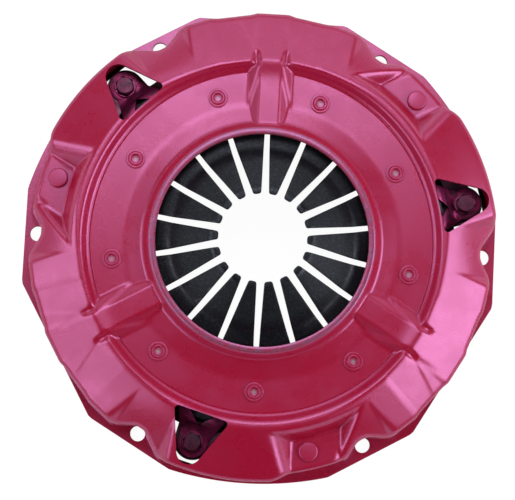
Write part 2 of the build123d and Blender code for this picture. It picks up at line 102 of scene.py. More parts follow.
def polar(radius: float, angle: float) -> Point2:
    """Point on a circle about the axis, from a radius and an angle in degrees."""
    return (radius * math.cos(math.radians(angle)), radius * math.sin(math.radians(angle)))


def smooth_min(a: Values, b: Values, blend: float) -> Values:
    """Lower of two heights, rounded where they come within the blend of each other."""
    share = np.clip(0.5 + 0.5 * (b - a) / blend, 0.0, 1.0)
    return b + (a - b) * share - blend * share * (1.0 - share)


def smooth_max(a: Values, b: Values, blend: float) -> Values:
    """Higher of two heights, rounded where they come within the blend of each other."""
    return -smooth_min(-a, -b, blend)


def smooth_step(low: float, high: float, value: Values) -> Values:
    """Smooth rise from 0 at the low value to 1 at the high one."""
    share = np.clip((value - low) / (high - low), 0.0, 1.0)
    return share * share * (3.0 - 2.0 * share)


def rounded_path(points: list[Point2], radii: list[float], steps: int = 6) -> np.ndarray:
    """Open path whose inner corners are arcs.

    Args:
        points: Corners of the path.
        radii: Radius at each inner corner; it is limited by the runs beside it.
        steps: Number of segments in each arc.

    Returns:
        Array of points along the path.
    """
    made = [np.array(points[0], float)]
    for i in range(1, len(points) - 1):
        corner = np.array(points[i], float)
        back = np.array(points[i - 1], float) - corner
        ahead = np.array(points[i + 1], float) - corner
        back_len, ahead_len = np.linalg.norm(back), np.linalg.norm(ahead)
        back, ahead = back / back_len, ahead / ahead_len
        half = math.acos(max(-1.0, min(1.0, float(back @ ahead)))) / 2
        radius = radii[i - 1]
        reach = min(radius / math.tan(half), 0.49 * back_len, 0.49 * ahead_len) if half < 1.5 else 0.0
        if reach <= 0.0 or radius <= 0.0:
            made.append(corner)
            continue
        radius = reach * math.tan(half)
        middle = (back + ahead) / np.linalg.norm(back + ahead)
        centre = corner + middle * radius / math.sin(half)
        start, end = corner + back * reach - centre, corner + ahead * reach - centre
        turn = math.atan2(start[0] * end[1] - start[1] * end[0], float(start @ end))
        for k in range(steps + 1):
            a = turn * k / steps
            spin = np.array([[math.cos(a), -math.sin(a)], [math.sin(a), math.cos(a)]])
            made.append(centre + spin @ start)
    made.append(np.array(points[-1], float))
    return np.array(made)


def from_rib(angle: Values) -> Values:
    """Angle from the nearest rib, for an angle in the local layout."""
    return (angle + HALF_PITCH) % SECTOR_PITCH - HALF_PITCH


def hull_outline(circles: list[Point3], steps: int = 40) -> np.ndarray:
    """Outline of a band stretched round circles.

    Args:
        circles: Centre x, centre y and radius of each circle.
        steps: Points on a full circle.

    Returns:
        Corner points in counter-clockwise order.
    """
    turns = [2 * math.pi * k / steps for k in range(steps)]
    cloud = sorted((x + radius * math.cos(a), y + radius * math.sin(a)) for x, y, radius in circles for a in turns)
    halves = []
    for order in (cloud, cloud[::-1]):
        chain: list[Point2] = []
        for p in order:
            while len(chain) > 1:
                (ax, ay), (bx, by) = chain[-2], chain[-1]
                if (bx - ax) * (p[1] - ay) - (by - ay) * (p[0] - ax) > 1e-12:
                    break
                chain.pop()
            chain.append(p)
        halves += chain[:-1]
    return np.array(halves)


def turn_points(points: np.ndarray, angle: float) -> np.ndarray:
    """Plan points turned about the clutch axis by an angle in degrees."""
    c, s = polar(1.0, angle)
    return points @ np.array([[c, s], [-s, c]])


def linked(name: str, data: bpy.types.ID) -> bpy.types.Object:
    """New object with the data given, linked to the scene."""
    made = bpy.data.objects.new(name, data)
    bpy.context.scene.collection.objects.link(made)
    return made


def mesh_object(name: str, points: np.ndarray, faces: list) -> bpy.types.Object:
    """New mesh object at the origin, linked to the scene."""
    mesh = bpy.data.meshes.new(name)
    mesh.from_pydata([tuple(p) for p in np.asarray(points, float)], [], faces)
    mesh.update()
    return linked(name, mesh)


def loop_faces(rows: int, cols: int, closed: bool = False) -> list[tuple[int, ...]]:
    """Quads between closed loops of points that are stored loop by loop.

    Args:
        rows: Number of loops.
        cols: Number of points in a loop.
        closed: Whether the last loop joins the first.

    Returns:
        Corner numbers of each quad.
    """
    quads = []
    for i in range(rows if closed else rows - 1):
        for j in range(cols):
            a, b = i * cols + j, i * cols + (j + 1) % cols
            c, d = (i + 1) % rows * cols + (j + 1) % cols, (i + 1) % rows * cols + j
            quads.append((a, b, c, d))
    return quads


def capped(name: str, rings: list[list[Point3]], merge: float = POINT_GAP) -> bpy.types.Object:
    """Closed solid through rings of points, with a face on the first ring and on the last.

    Args:
        name: Name of the object.
        rings: Rings with the same number of points.
        merge: Distance within which points join.

    Returns:
        The mesh object.
    """
    count, last = len(rings[0]), (len(rings) - 1) * len(rings[0])
    faces = loop_faces(len(rings), count)
    faces += [tuple(range(count))[::-1], tuple(range(last, last + count))]
    return tidy_mesh(mesh_object(name, np.array(rings).reshape(-1, 3), faces), merge)


def lathe(name: str, section: np.ndarray, steps: int = 48) -> bpy.types.Object:
    """Solid of revolution about Z from a section of radius and height.

    Args:
        name: Name of the object.
        section: Closed section, or an open one whose two ends lie on the axis.
        steps: Segments round the axis.

    Returns:
        The mesh object.
    """
    angles = 2 * math.pi * np.arange(steps) / steps
    rows = [[(r * math.cos(a), r * math.sin(a), z) for a in angles] for r, z in section]
    closed = section[0][0] > POINT_GAP or section[-1][0] > POINT_GAP
    return tidy_mesh(mesh_object(name, np.array(rows).reshape(-1, 3), loop_faces(len(rows), steps, closed)))


def tidy_mesh(made: bpy.types.Object, merge: float = POINT_GAP) -> bpy.types.Object:
    """Merges doubled points, drops empty faces and turns the faces outwards."""
    shape = bmesh.new()
    shape.from_mesh(made.data)
    bmesh.ops.remove_doubles(shape, verts=shape.verts, dist=merge)
    bmesh.ops.dissolve_degenerate(shape, edges=shape.edges, dist=merge)
    bmesh.ops.recalc_face_normals(shape, faces=shape.faces)
    shape.to_mesh(made.data)
    shape.free()
    return made


def prism(name: str, outline: np.ndarray, low: float, high: float) -> bpy.types.Object:
    """Upright solid on a flat outline, between two heights."""
    return capped(name, [[(x, y, z) for x, y in outline] for z in (low, high)])


def joined(name: str, parts: list[bpy.types.Object]) -> bpy.types.Object:
    """One mesh object made of several, which are removed."""
    shape = bmesh.new()
    for part in parts:
        shape.from_mesh(part.data)
    mesh = bpy.data.meshes.new(name)
    shape.to_mesh(mesh)
    shape.free()
    for part in parts:
        bpy.data.objects.remove(part)
    return linked(name, mesh)


def apply_modifiers(made: bpy.types.Object) -> bpy.types.Object:
    """Turns the evaluated shape into the object's plain mesh and removes its modifiers."""
    depsgraph = bpy.context.evaluated_depsgraph_get()
    mesh = bpy.data.meshes.new_from_object(made.evaluated_get(depsgraph), depsgraph=depsgraph)
    made.modifiers.clear()
    made.data = mesh
    return made


def cut(made: bpy.types.Object, tools: list[bpy.types.Object]) -> bpy.types.Object:
    """Takes the tools away from a closed mesh and removes them.

    Args:
        made: Closed mesh.
        tools: Closed meshes to take away.

    Returns:
        The object with its holes cut.
    """
    tool = joined("cutter", tools)
    modifier = made.modifiers.new("cut", "BOOLEAN")
    modifier.operation = "DIFFERENCE"
    modifier.solver = "MANIFOLD"
    modifier.object = tool
    apply_modifiers(made)
    bpy.data.objects.remove(tool)
    return made


def shade(made: bpy.types.Object, sharp: float = 32.0) -> bpy.types.Object:
    """Smooth shading, with edges sharper than an angle kept sharp."""
    made.data.shade_smooth()
    made.data.set_sharp_from_angle(angle=math.radians(sharp))
    return made


def dress(made: bpy.types.Object, material: bpy.types.Material) -> bpy.types.Object:
    """Gives an object one finish in place of those it has."""
    made.data.materials.clear()
    made.data.materials.append(material)
    return made


class Graph:
    """Adds nodes to a node tree and links them."""

    def __init__(self, tree: bpy.types.NodeTree) -> None:
        """Keeps the tree that nodes are added to."""
        self.tree = tree

    def add(self, kind: str, inputs: dict | None = None, **settings: object) -> bpy.types.Node:
        """Adds a node.

        Args:
            kind: Node type.
            inputs: Value or linked socket for each input, by name or number.
            **settings: Properties of the node.

        Returns:
            The new node.
        """
        node = self.tree.nodes.new(kind)
        for name, value in settings.items():
            setattr(node, name, value)
        for key, value in (inputs or {}).items():
            if isinstance(value, bpy.types.NodeSocket):
                self.link(value, node.inputs[key])
            else:
                node.inputs[key].default_value = value
        return node

    def link(self, source: bpy.types.NodeSocket, target: bpy.types.NodeSocket) -> None:
        """Links two sockets."""
        self.tree.links.new(source, target)

    def math(self, operation: str, a: object, b: object = 0.0, clamp: bool = False) -> bpy.types.NodeSocket:
        """Result of a math node on two values or sockets."""
        return self.add("ShaderNodeMath", {0: a, 1: b}, operation=operation, use_clamp=clamp).outputs[0]

    def mix(self, share: object, a: object, b: object) -> bpy.types.NodeSocket:
        """Colour between two colours."""
        return self.add("ShaderNodeMix", {0: share, 6: a, 7: b}, data_type="RGBA").outputs[2]

    def noise(self, place: object, scale: object, detail: float, roughness: float = 0.5) -> bpy.types.NodeSocket:
        """Value of a noise texture."""
        return self.add("ShaderNodeTexNoise", {"Vector": place, "Scale": scale, "Detail": detail,
                                               "Roughness": roughness}).outputs["Fac"]

    def place(self) -> bpy.types.NodeSocket:
        """Position in the object's own coordinates."""
        return self.add("ShaderNodeTexCoord").outputs["Object"]

    def remap(self, value: object, low: float, high: float, to_low: float = 0.0,
              to_high: float = 1.0) -> bpy.types.NodeSocket:
        """Value moved smoothly from one range to another."""
        return self.add("ShaderNodeMapRange", {0: value, 1: low, 2: high, 3: to_low, 4: to_high},
                        interpolation_type="SMOOTHSTEP").outputs[0]


def group_tree(name: str, inputs: dict[str, float | Color], outputs: dict[str, str]) -> tuple:
    """Starts a shader node group.

    Args:
        name: Name of the group.
        inputs: Name and default of each input; three numbers make a colour.
        outputs: Name and socket type of each output.

    Returns:
        The tree, its graph, its input node and its output node.
    """
    tree = bpy.data.node_groups.new(name, "ShaderNodeTree")
    for label, default in inputs.items():
        is_color = isinstance(default, tuple)
        kind = "NodeSocketColor" if is_color else "NodeSocketFloat"
        socket = tree.interface.new_socket(label, in_out="INPUT", socket_type=kind)
        socket.default_value = (*default, 1.0) if is_color else default
    for label, kind in outputs.items():
        tree.interface.new_socket(label, in_out="OUTPUT", socket_type=kind)
    graph = Graph(tree)
    return tree, graph, graph.add("NodeGroupInput"), graph.add("NodeGroupOutput")


class Effects:
    """Shader node groups that several finishes share."""

    def __init__(self) -> None:
        """Builds each group once."""
        self.grain = self.build_grain()
        self.band = self.build_band()
        self.overspray = self.build_overspray()
        self.wear_and_highlight = self.build_wear_and_highlight()

    @staticmethod
    def build_grain() -> bpy.types.NodeTree:
        """Fine flakes and broad clouds in a colour, with a height for bump.

        Returns:
            The node group.
        """
        tree, graph, given, result = group_tree(
            "grain", {"Color": (0.5, 0.5, 0.5), "Light Color": (0.8, 0.8, 0.8), "Flake Scale": 2200.0,
                      "Flake Amount": 0.2, "Cloud Scale": 45.0, "Cloud Amount": 0.2},
            {"Color": "NodeSocketColor", "Cloud": "NodeSocketFloat", "Height": "NodeSocketFloat"})
        place = graph.place()
        flakes = graph.add("ShaderNodeTexVoronoi", {"Vector": place, "Scale": given.outputs["Flake Scale"]})
        bright = graph.add("ShaderNodeSeparateColor", {0: flakes.outputs["Color"]}).outputs[0]
        sparkle = graph.math("POWER", bright, 3.0)
        share = graph.math("MULTIPLY", sparkle, given.outputs["Flake Amount"], clamp=True)
        cloud = graph.remap(graph.noise(place, given.outputs["Cloud Scale"], 5.0, 0.6), 0.3, 0.7)
        flaked = graph.mix(share, given.outputs["Color"], given.outputs["Light Color"])
        darker = graph.add("ShaderNodeHueSaturation", {"Value": 0.72, "Color": flaked}).outputs[0]
        cloud_share = graph.math("MULTIPLY", cloud, given.outputs["Cloud Amount"], clamp=True)
        graph.link(graph.mix(cloud_share, flaked, darker), result.inputs["Color"])
        graph.link(cloud, result.inputs["Cloud"])
        graph.link(graph.noise(place, 650.0, 3.0), result.inputs["Height"])
        return tree

    @staticmethod
    def build_band() -> bpy.types.NodeTree:
        """Mask of a ring about the clutch axis, broken up by noise.

        Returns:
            The node group.
        """
        tree, graph, given, result = group_tree(
            "radial_band", {"Inner": 0.06, "Outer": 0.07, "Soft": 0.001, "Break Up": 0.5, "Scale": 300.0},
            {"Mask": "NodeSocketFloat"})
        place = graph.place()
        parts = graph.add("ShaderNodeSeparateXYZ", {0: place})
        flat = graph.add("ShaderNodeCombineXYZ", {"X": parts.outputs["X"], "Y": parts.outputs["Y"]})
        radius = graph.add("ShaderNodeVectorMath", {0: flat.outputs[0]}, operation="LENGTH").outputs["Value"]
        ends = [graph.math("DIVIDE", graph.math("SUBTRACT", a, b), given.outputs["Soft"], clamp=True)
                for a, b in ((radius, given.outputs["Inner"]), (given.outputs["Outer"], radius))]
        ring = graph.math("MULTIPLY", *ends)
        rough = graph.remap(graph.noise(place, given.outputs["Scale"], 6.0, 0.7), 0.42, 0.58)
        broken = graph.add("ShaderNodeMix", {0: given.outputs["Break Up"], 2: 1.0, 3: rough}).outputs[0]
        graph.link(graph.math("MULTIPLY", ring, broken), result.inputs["Mask"])
        return tree

    @staticmethod
    def build_overspray() -> bpy.types.NodeTree:
        """Paint that drifted on to the faces that look up.

        Returns:
            The node group.
        """
        tree, graph, given, result = group_tree(
            "overspray", {"Base": (0.02, 0.02, 0.02), "Spray": (0.4, 0.02, 0.1), "Cover": 0.8, "Facing": 0.6},
            {"Color": "NodeSocketColor", "Mask": "NodeSocketFloat"})
        up = graph.add("ShaderNodeSeparateXYZ", {0: graph.add("ShaderNodeNewGeometry").outputs["Normal"]})
        facing = graph.math("SUBTRACT", up.outputs["Z"], given.outputs["Facing"])
        lit = graph.math("MULTIPLY", facing, 6.0, clamp=True)
        place = graph.place()
        patchy = graph.remap(graph.noise(place, 160.0, 6.0, 0.65), 0.3, 0.62)
        share = graph.math("MULTIPLY", given.outputs["Cover"], graph.math("ADD", patchy, 0.25, clamp=True))
        mask = graph.math("MULTIPLY", lit, share, clamp=True)
        graph.link(graph.mix(mask, given.outputs["Base"], given.outputs["Spray"]), result.inputs["Color"])
        graph.link(mask, result.inputs["Mask"])
        return tree

    @staticmethod
    def build_wear_and_highlight() -> bpy.types.NodeTree:
        """Mask of lighter edges from the curvature of the surface: partly rubbed wear, partly a painted edge
        highlight.

        Returns:
            The node group.
        """
        tree, graph, given, result = group_tree(
            "edge_wear_and_highlight", {"Start": 0.52, "Width": 0.06, "Scale": 220.0}, {"Mask": "NodeSocketFloat"})
        bend = graph.add("ShaderNodeNewGeometry").outputs["Pointiness"]
        edge = graph.math("DIVIDE", graph.math("SUBTRACT", bend, given.outputs["Start"]),
                          given.outputs["Width"], clamp=True)
        place = graph.place()
        rough = graph.remap(graph.noise(place, given.outputs["Scale"], 5.0), 0.38, 0.6)
        graph.link(graph.math("MULTIPLY", edge, rough), result.inputs["Mask"])
        return tree


EFFECTS = Effects()


def start_material(name: str) -> tuple[bpy.types.Material, Graph, bpy.types.Node]:
    """New node material with its graph and Principled shader."""
    material = bpy.data.materials.new(name)
    material.use_nodes = True
    return material, Graph(material.node_tree), material.node_tree.nodes["Principled BSDF"]


def grained(name: str, color: Color, light: Color, grain_inputs: dict[str, float], roughness: Point2,
            bump_inputs: Point2) -> tuple[bpy.types.Material, Graph, bpy.types.Node, bpy.types.NodeSocket]:
    """New material whose roughness and bump follow the grain.

    Args:
        name: Name of the material.
        color: Base colour.
        light: Colour of the flakes.
        grain_inputs: Other inputs of the grain group.
        roughness: Lowest and highest roughness.
        bump_inputs: Strength and distance of the bump.

    Returns:
        The material, its graph, its Principled shader and the grained colour.
    """
    material, graph, shader = start_material(name)
    grain = graph.add("ShaderNodeGroup", node_tree=EFFECTS.grain)
    for key, value in {"Color": (*color, 1.0), "Light Color": (*light, 1.0), **grain_inputs}.items():
        grain.inputs[key].default_value = value
    graph.link(graph.remap(grain.outputs["Cloud"], 0.0, 1.0, *roughness), shader.inputs["Roughness"])
    bump = graph.add("ShaderNodeBump", {"Height": grain.outputs["Height"], "Strength": bump_inputs[0],
                                        "Distance": bump_inputs[1]})
    graph.link(bump.outputs[0], shader.inputs["Normal"])
    return material, graph, shader, grain.outputs["Color"]


@dataclass(frozen=True)
class MetallicPaint:
    """Satin metallic crimson sprayed over pressed steel, scuffed where it is handled."""

    name: str = "crimson_paint"
    scuff_color: Color = (0.16, 0.09, 0.15)
    scuff: float = 0.75
    roughness: Point2 = (0.26, 0.33)
    lip_inner: float = 0.0675
    lip_outer: float = 0.0728
    coat: float = 0.12
    coat_roughness: float = 0.25

    def build(self) -> bpy.types.Material:
        """Makes the material."""
        material, graph, shader, color = grained(
            self.name, PAINT_COLOR, PAINT_FLAKE,
            {"Flake Scale": 2600.0, "Flake Amount": 0.35, "Cloud Scale": 38.0, "Cloud Amount": 0.25},
            self.roughness, (0.12, 0.0003))
        lip = graph.add("ShaderNodeGroup", {"Inner": self.lip_inner, "Outer": self.lip_outer, "Soft": 0.0009,
                                            "Break Up": 0.7, "Scale": 420.0}, node_tree=EFFECTS.band)
        scuffed = graph.math("MULTIPLY", lip.outputs["Mask"], self.scuff)
        graph.link(graph.mix(scuffed, color, (*self.scuff_color, 1.0)), shader.inputs["Base Color"])
        shader.inputs["IOR"].default_value = PAINT_IOR
        shader.inputs["Specular Tint"].default_value = (*PAINT_GLEAM, 1.0)
        shader.inputs["Coat Weight"].default_value = self.coat
        shader.inputs["Coat Roughness"].default_value = self.coat_roughness
        return material


@dataclass(frozen=True)
class DarkSteel:
    """Blackened spring or fastener steel with an oily sheen, its edges lightened by rubbed wear and a painted edge
    highlight.
    """

    name: str
    color: Color = (0.018, 0.02, 0.026)
    light: Color = (0.11, 0.12, 0.15)
    spray_color: Color = (0.42, 0.03, 0.16)
    metallic: float = 0.75
    roughness: Point2 = (0.3, 0.46)
    rub_and_highlight: float = 0.7
    spray: float = 0.0

    def build(self) -> bpy.types.Material:
        """Makes the material."""
        material, graph, shader, color = grained(
            self.name, self.color, self.light,
            {"Flake Scale": 1500.0, "Flake Amount": 0.25, "Cloud Scale": 70.0, "Cloud Amount": 0.4},
            self.roughness, (0.15, 0.0003))
        # Convex edges are mixed towards the light colour: partly rubbed wear, partly a painted edge highlight.
        wear_and_highlight = graph.add("ShaderNodeGroup", node_tree=EFFECTS.wear_and_highlight)
        color = graph.mix(graph.math("MULTIPLY", wear_and_highlight.outputs["Mask"], self.rub_and_highlight), color, (*self.light, 1.0))
        if self.spray:
            color = graph.add("ShaderNodeGroup", {"Base": color, "Spray": (*self.spray_color, 1.0),
                                                  "Cover": self.spray, "Facing": 0.55},
                              node_tree=EFFECTS.overspray).outputs["Color"]
        graph.link(color, shader.inputs["Base Color"])
        shader.inputs["Metallic"].default_value = self.metallic
        return material


@dataclass(frozen=True)
class RivetPaint:
    """Cover paint on a rivet, worn to grey where the forming punch pressed."""

    name: str = "rivet_paint"
    bare: Color = (0.34, 0.32, 0.32)
    roughness: Point2 = (0.3, 0.42)

    def build(self) -> bpy.types.Material:
        """Makes the material."""
        material, graph, shader, color = grained(
            self.name, PAINT_COLOR, PAINT_FLAKE, {"Flake Amount": 0.35, "Cloud Amount": 0.2},
            self.roughness, (0.12, 0.0003))
        worn = graph.add("ShaderNodeAttribute", attribute_name="bare").outputs["Fac"]
        graph.link(graph.mix(worn, color, (*self.bare, 1.0)), shader.inputs["Base Color"])
        shader.inputs["IOR"].default_value = PAINT_IOR
        shader.inputs["Specular Tint"].default_value = (*PAINT_GLEAM, 1.0)
        return material


@dataclass(frozen=True)
class CastIron:
    """Sand-cast iron with a little of the cover's paint drifted on to it."""

    name: str = "cast_iron"
    color: Color = (0.055, 0.052, 0.05)
    light: Color = (0.2, 0.19, 0.18)
    spray_color: Color = (0.25, 0.012, 0.06)
    roughness: Point2 = (0.5, 0.75)
    metallic: float = 0.6

    def build(self) -> bpy.types.Material:
        """Makes the material."""
        material, graph, shader, color = grained(
            self.name, self.color, self.light,
            {"Flake Scale": 900.0, "Flake Amount": 0.5, "Cloud Scale": 90.0, "Cloud Amount": 0.6},
            self.roughness, (0.5, 0.0006))
        coat = graph.add("ShaderNodeGroup", {"Base": color, "Spray": (*self.spray_color, 1.0), "Cover": 0.35,
                                             "Facing": 0.6}, node_tree=EFFECTS.overspray)
        graph.link(coat.outputs["Color"], shader.inputs["Base Color"])
        shader.inputs["Metallic"].default_value = self.metallic
        return material


class PolarArray:
    """Geometry Nodes tree that repeats a piece about the clutch axis."""

    def __init__(self) -> None:
        """Builds the tree with its named inputs."""
        self.tree = bpy.data.node_groups.new("polar_array", "GeometryNodeTree")
        face = self.tree.interface
        for label, kind in (("Geometry", "Geometry"), ("Count", "Int"), ("Start Angle", "Float"),
                            ("Step Angle", "Float"), ("Merge Distance", "Float"), ("Material", "Material")):
            face.new_socket(label, in_out="INPUT", socket_type=f"NodeSocket{kind}")
        face.new_socket("Geometry", in_out="OUTPUT", socket_type="NodeSocketGeometry")
        graph = Graph(self.tree)
        given = graph.add("NodeGroupInput")
        row = graph.add("GeometryNodeMeshLine", {"Count": given.outputs["Count"], "Offset": (0.0, 0.0, 0.0)})
        index = graph.add("GeometryNodeInputIndex").outputs[0]
        steps = graph.math("MULTIPLY", index, given.outputs["Step Angle"])
        angle = graph.math("ADD", steps, given.outputs["Start Angle"])
        turn = graph.add("ShaderNodeCombineXYZ", {"Z": graph.math("RADIANS", angle)}).outputs[0]
        copies = graph.add("GeometryNodeInstanceOnPoints", {"Points": row.outputs[0],
                                                            "Instance": given.outputs["Geometry"], "Rotation": turn})
        merged = graph.add("GeometryNodeMergeByDistance", {
            "Geometry": graph.add("GeometryNodeRealizeInstances", {0: copies.outputs[0]}).outputs[0],
            "Distance": given.outputs["Merge Distance"]})
        real = graph.add("GeometryNodeRealizeInstances", {0: merged.outputs[0]})
        dressed = graph.add("GeometryNodeSetMaterial", {"Geometry": real.outputs[0],
                                                        "Material": given.outputs["Material"]})
        graph.add("NodeGroupOutput", {0: dressed.outputs[0]})

    def repeat(self, made: bpy.types.Object, count: int, start: float, material: bpy.types.Material,
               radius: float = 0.0, merge: float = 1e-6) -> bpy.types.Object:
        """Repeats an object's mesh about the axis and makes the result its plain mesh.

        Args:
            made: Object whose mesh is repeated.
            count: Number of copies, evenly spaced.
            start: Angle of the first copy from the first rib.
            material: Finish of the result.
            radius: Distance that the mesh is moved from the axis first.
            merge: Distance within which points join.

        Returns:
            The same object with the repeated mesh.
        """
        made.data.transform(Matrix.Translation((radius, 0.0, 0.0)))
        modifier = made.modifiers.new("polar_array", "NODES")
        modifier.node_group = self.tree
        values = {"Count": count, "Start Angle": RIB_ANGLE + start, "Step Angle": 360.0 / count,
                  "Merge Distance": merge, "Material": material}
        for socket in self.tree.interface.items_tree:
            if socket.item_type == "SOCKET" and socket.in_out == "INPUT" and socket.name in values:
                modifier[socket.identifier] = values[socket.name]
        made.data.update()
        return apply_modifiers(made)


ARRAY = PolarArray()


def numbered(label: str) -> list[str]:
    """Names of the three nodes of one kind."""
    return [f"{label}_{k + 1}" for k in range(SECTORS)]


def seat(made: bpy.types.Object, body: Body, slot: Slot, *nodes: str) -> None:
    """Makes a piece ride on its body and stand for its nodes."""
    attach(made, body.value)
    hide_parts(*nodes)
    LOG.info("%s: %d faces", made.name, len(made.data.polygons))


@dataclass
class PressedCover:
    """The pressed steel cover: lip, pan, ribs, faceted shoulder, windows, strap pads and flange."""

    sheet: float = 0.0035
    opening_r: float = 0.0680
    lip_z: float = 0.0464
    bolt_circle_r: float = 0.14765
    bolt_hole_r: float = 0.00495
    hole_angle: float = 30.0
    flange_r: float = 0.1592
    rib_flat: float = 0.1513
    hole_flat: float = 0.1558
    side_r: float = 0.1564
    side_arc_r: float = 0.2100
    wall_r: float = 0.1536
    pan_z: float = 0.0380
    crest_z: float = 0.0435
    bend_z: float = 0.0320
    bend_round: float = 0.0030
    facet_bend_z: float = 0.0310
    facet_slope: float = 20.5
    facet_wall: float = 0.1503
    facet_raise: float = 0.0011
    centre_facet: float = 4.7
    side_facet: float = 14.8
    facets_end: float = 23.8
    valley_r: float = 0.1423
    valley_slope: float = 34.0
    valley_end: float = 37.0
    arc_start: float = 39.0
    rib_z: float = 0.0422
    rib_top: float = 0.0134
    rib_foot: float = 0.0250
    rib_climb_r: float = 0.1080
    crown_r: float = 0.1170
    crown_z: float = 0.0440
    crown_w: float = 0.0126
    groove_side: float = 0.0096
    groove_half: float = 0.0021
    groove_depth: float = 0.0016
    window_angle: float = 44.0
    window_inner_r: float = 0.1158
    window_nose_r: float = 0.1500
    window_w: float = 0.0350
    window_corner: float = 0.0026
    window_nose: float = 0.0080
    pad_angle: float = 75.5
    pad_z: float = 0.0291
    pad_inner_r: float = 0.1290
    pad_skew: float = 14.5
    pad_wall_r: float = 0.1495
    pad_window_side: float = 0.0110
    pad_valley_side: float = 0.0205
    pad_inner_slope: float = 2.2
    pad_window_slope: float = 1.05
    pad_valley_slope: float = 1.2
    rivet_r: float = 0.1376
    rivet_hole: float = 0.00405
    pivot_r: float = 0.0966
    pivot_hole: float = 0.00365
    foot_radius: float = 0.0030
    edge_round: float = 0.0006
    edge_trim: float = 0.00001
    heel_least: float = 0.0004
    flange_round: float = 0.0003
    sector_columns: int = 216
    shoulder_r: float = 0.1218
    shoulder_w: float = 0.0045

    def __post_init__(self) -> None:
        """Samples the turned profile and the plan of the wall."""
        lip = [(0.0600, self.lip_z), (0.0718, self.lip_z), (0.0765, 0.0402), (0.0885, self.pan_z)]
        step = [(0.1095, self.pan_z), (0.1099, self.pan_z - 0.0006), (0.1104, self.pan_z + 0.0002),
                (0.1120, self.pan_z + 0.0008), (0.1152, self.crest_z - 0.0004), (0.1195, self.crest_z)]
        slope = [(self.wall_r, self.bend_z), (self.wall_r + 0.0100, self.bend_z - 0.0034)]
        self.profile = rounded_path(lip + step + slope, [0.0015, 0.002, 0.008, 0.0002, 0.0002, 0.0003, 0.003,
                                                         0.0035, 0.008, 0.0], 8)
        self.samples = np.linspace(-HALF_PITCH, HALF_PITCH, 2401)
        self.wall_table = self.soften(self.wall_outline(self.samples), 12)
        edge = self.soften(self.flange_outline(self.samples), 4) - self.edge_trim
        self.edge_table = np.maximum(edge, self.wall_table + self.heel_least)

    @staticmethod
    def soften(values: np.ndarray, reach: int) -> np.ndarray:
        """Rounds the corners of a radius table by a short bell-shaped average."""
        weights = np.exp(-0.5 * (np.arange(-3 * reach, 3 * reach + 1) / reach) ** 2)
        padded = np.pad(values, 3 * reach, mode="wrap")
        return np.convolve(padded, weights / weights.sum(), mode="valid")

    def facet_planes(self) -> list[Point3]:
        """Start angle, end angle and wall distance of the flats on one side of a rib."""
        low = self.facet_wall - self.facet_raise
        return [(-self.centre_facet, self.centre_facet, self.facet_wall),
                (self.centre_facet, self.side_facet, low),
                (self.side_facet, self.facets_end, self.facet_wall)]

    def wall_outline(self, angles: np.ndarray) -> np.ndarray:
        """Radius of the outer wall at angles from a rib."""
        corners: list[Point2] = []
        for start, end, wall in self.facet_planes():
            reach = wall / math.cos(math.radians((end - start) / 2))
            corners += [polar(reach, max(start, 0.0)) if start > 0 else (wall, 0.0), polar(reach, end)]
        corners += [polar(self.valley_r, self.hole_angle - 1.4), polar(self.valley_r, self.hole_angle + 1.4),
                    polar(self.wall_r + 0.004, self.arc_start)]
        found = np.full(len(angles), self.wall_r)
        size = np.abs(angles)
        for (ax, ay), (bx, by) in zip(corners, corners[1:]):
            start, end = math.degrees(math.atan2(ay, ax)), math.degrees(math.atan2(by, bx))
            if end - start < 0.01:
                continue
            nx, ny = by - ay, ax - bx
            inside = (size >= start) & (size < end)
            across = nx * np.cos(np.radians(size)) + ny * np.sin(np.radians(size))
            line = (nx * ax + ny * ay) / np.where(np.abs(across) < 1e-9, 1e-9, across)
            found = np.where(inside, np.minimum(line, self.wall_r), found)
        dent = np.interp(angles, [-54.5, -50.5, -36.0, -33.0],
                         [self.wall_r, self.pad_wall_r, self.pad_wall_r, self.wall_r])
        return np.minimum(found, dent)

    def flange_outline(self, angles: np.ndarray) -> np.ndarray:
        """Radius of the flange's edge at angles from a rib."""
        size = np.abs(angles)
        rib_side = self.rib_flat / np.cos(np.radians(size))
        hole_side = self.hole_flat / np.cos(np.radians(size - self.hole_angle))
        behind = self.side_arc_r - self.side_r
        turn = np.radians(HALF_PITCH - size)
        side_arc = np.sqrt(self.side_arc_r ** 2 - (behind * np.sin(turn)) ** 2) - behind * np.cos(turn)
        return np.minimum(np.minimum(rib_side, hole_side), np.minimum(side_arc, self.flange_r))

    @staticmethod
    def local(x: np.ndarray, y: np.ndarray, angle: float) -> tuple[np.ndarray, np.ndarray, np.ndarray]:
        """Radial and sideways distance, and angle, from the nearest copy of a feature."""
        radius = np.hypot(x, y)
        away = from_rib(np.degrees(np.arctan2(y, x)) - angle)
        return radius * np.cos(np.radians(away)), radius * np.sin(np.radians(away)), away

    def height(self, x: np.ndarray, y: np.ndarray) -> np.ndarray:
        """Height of the cover's top over a plan position.

        Args:
            x: Position in the local layout.
            y: Position in the local layout.

        Returns:
            Height of the pressed surface, before the bend to the outer wall.
        """
        radius = np.hypot(x, y)
        z = np.interp(radius, self.profile[:, 0], self.profile[:, 1])
        along, side, away = self.local(x, y, 0.0)
        facets = self.facets(radius, away)
        z = smooth_min(z, facets, 0.0012)
        z = smooth_max(z, self.bar(along, np.abs(side)), 0.0007)
        z = smooth_max(z, smooth_min(self.crown(along, np.abs(side)), facets, 0.0012), 0.0010)
        z = z - self.groove(along, np.abs(side))
        return smooth_min(z, self.pocket(x, y, radius), 0.0048)

    def bar(self, along: np.ndarray, side: np.ndarray) -> np.ndarray:
        """Height of a rib across the pan, at distances along it and beside it."""
        flare = (self.rib_z - self.pan_z) / ((self.rib_foot - self.rib_top) / 2)
        flank = self.rib_z - (side - self.rib_top / 2) * flare
        return np.where(along < self.crown_r, smooth_min(self.rib_z, flank, 0.0008), 0.0)

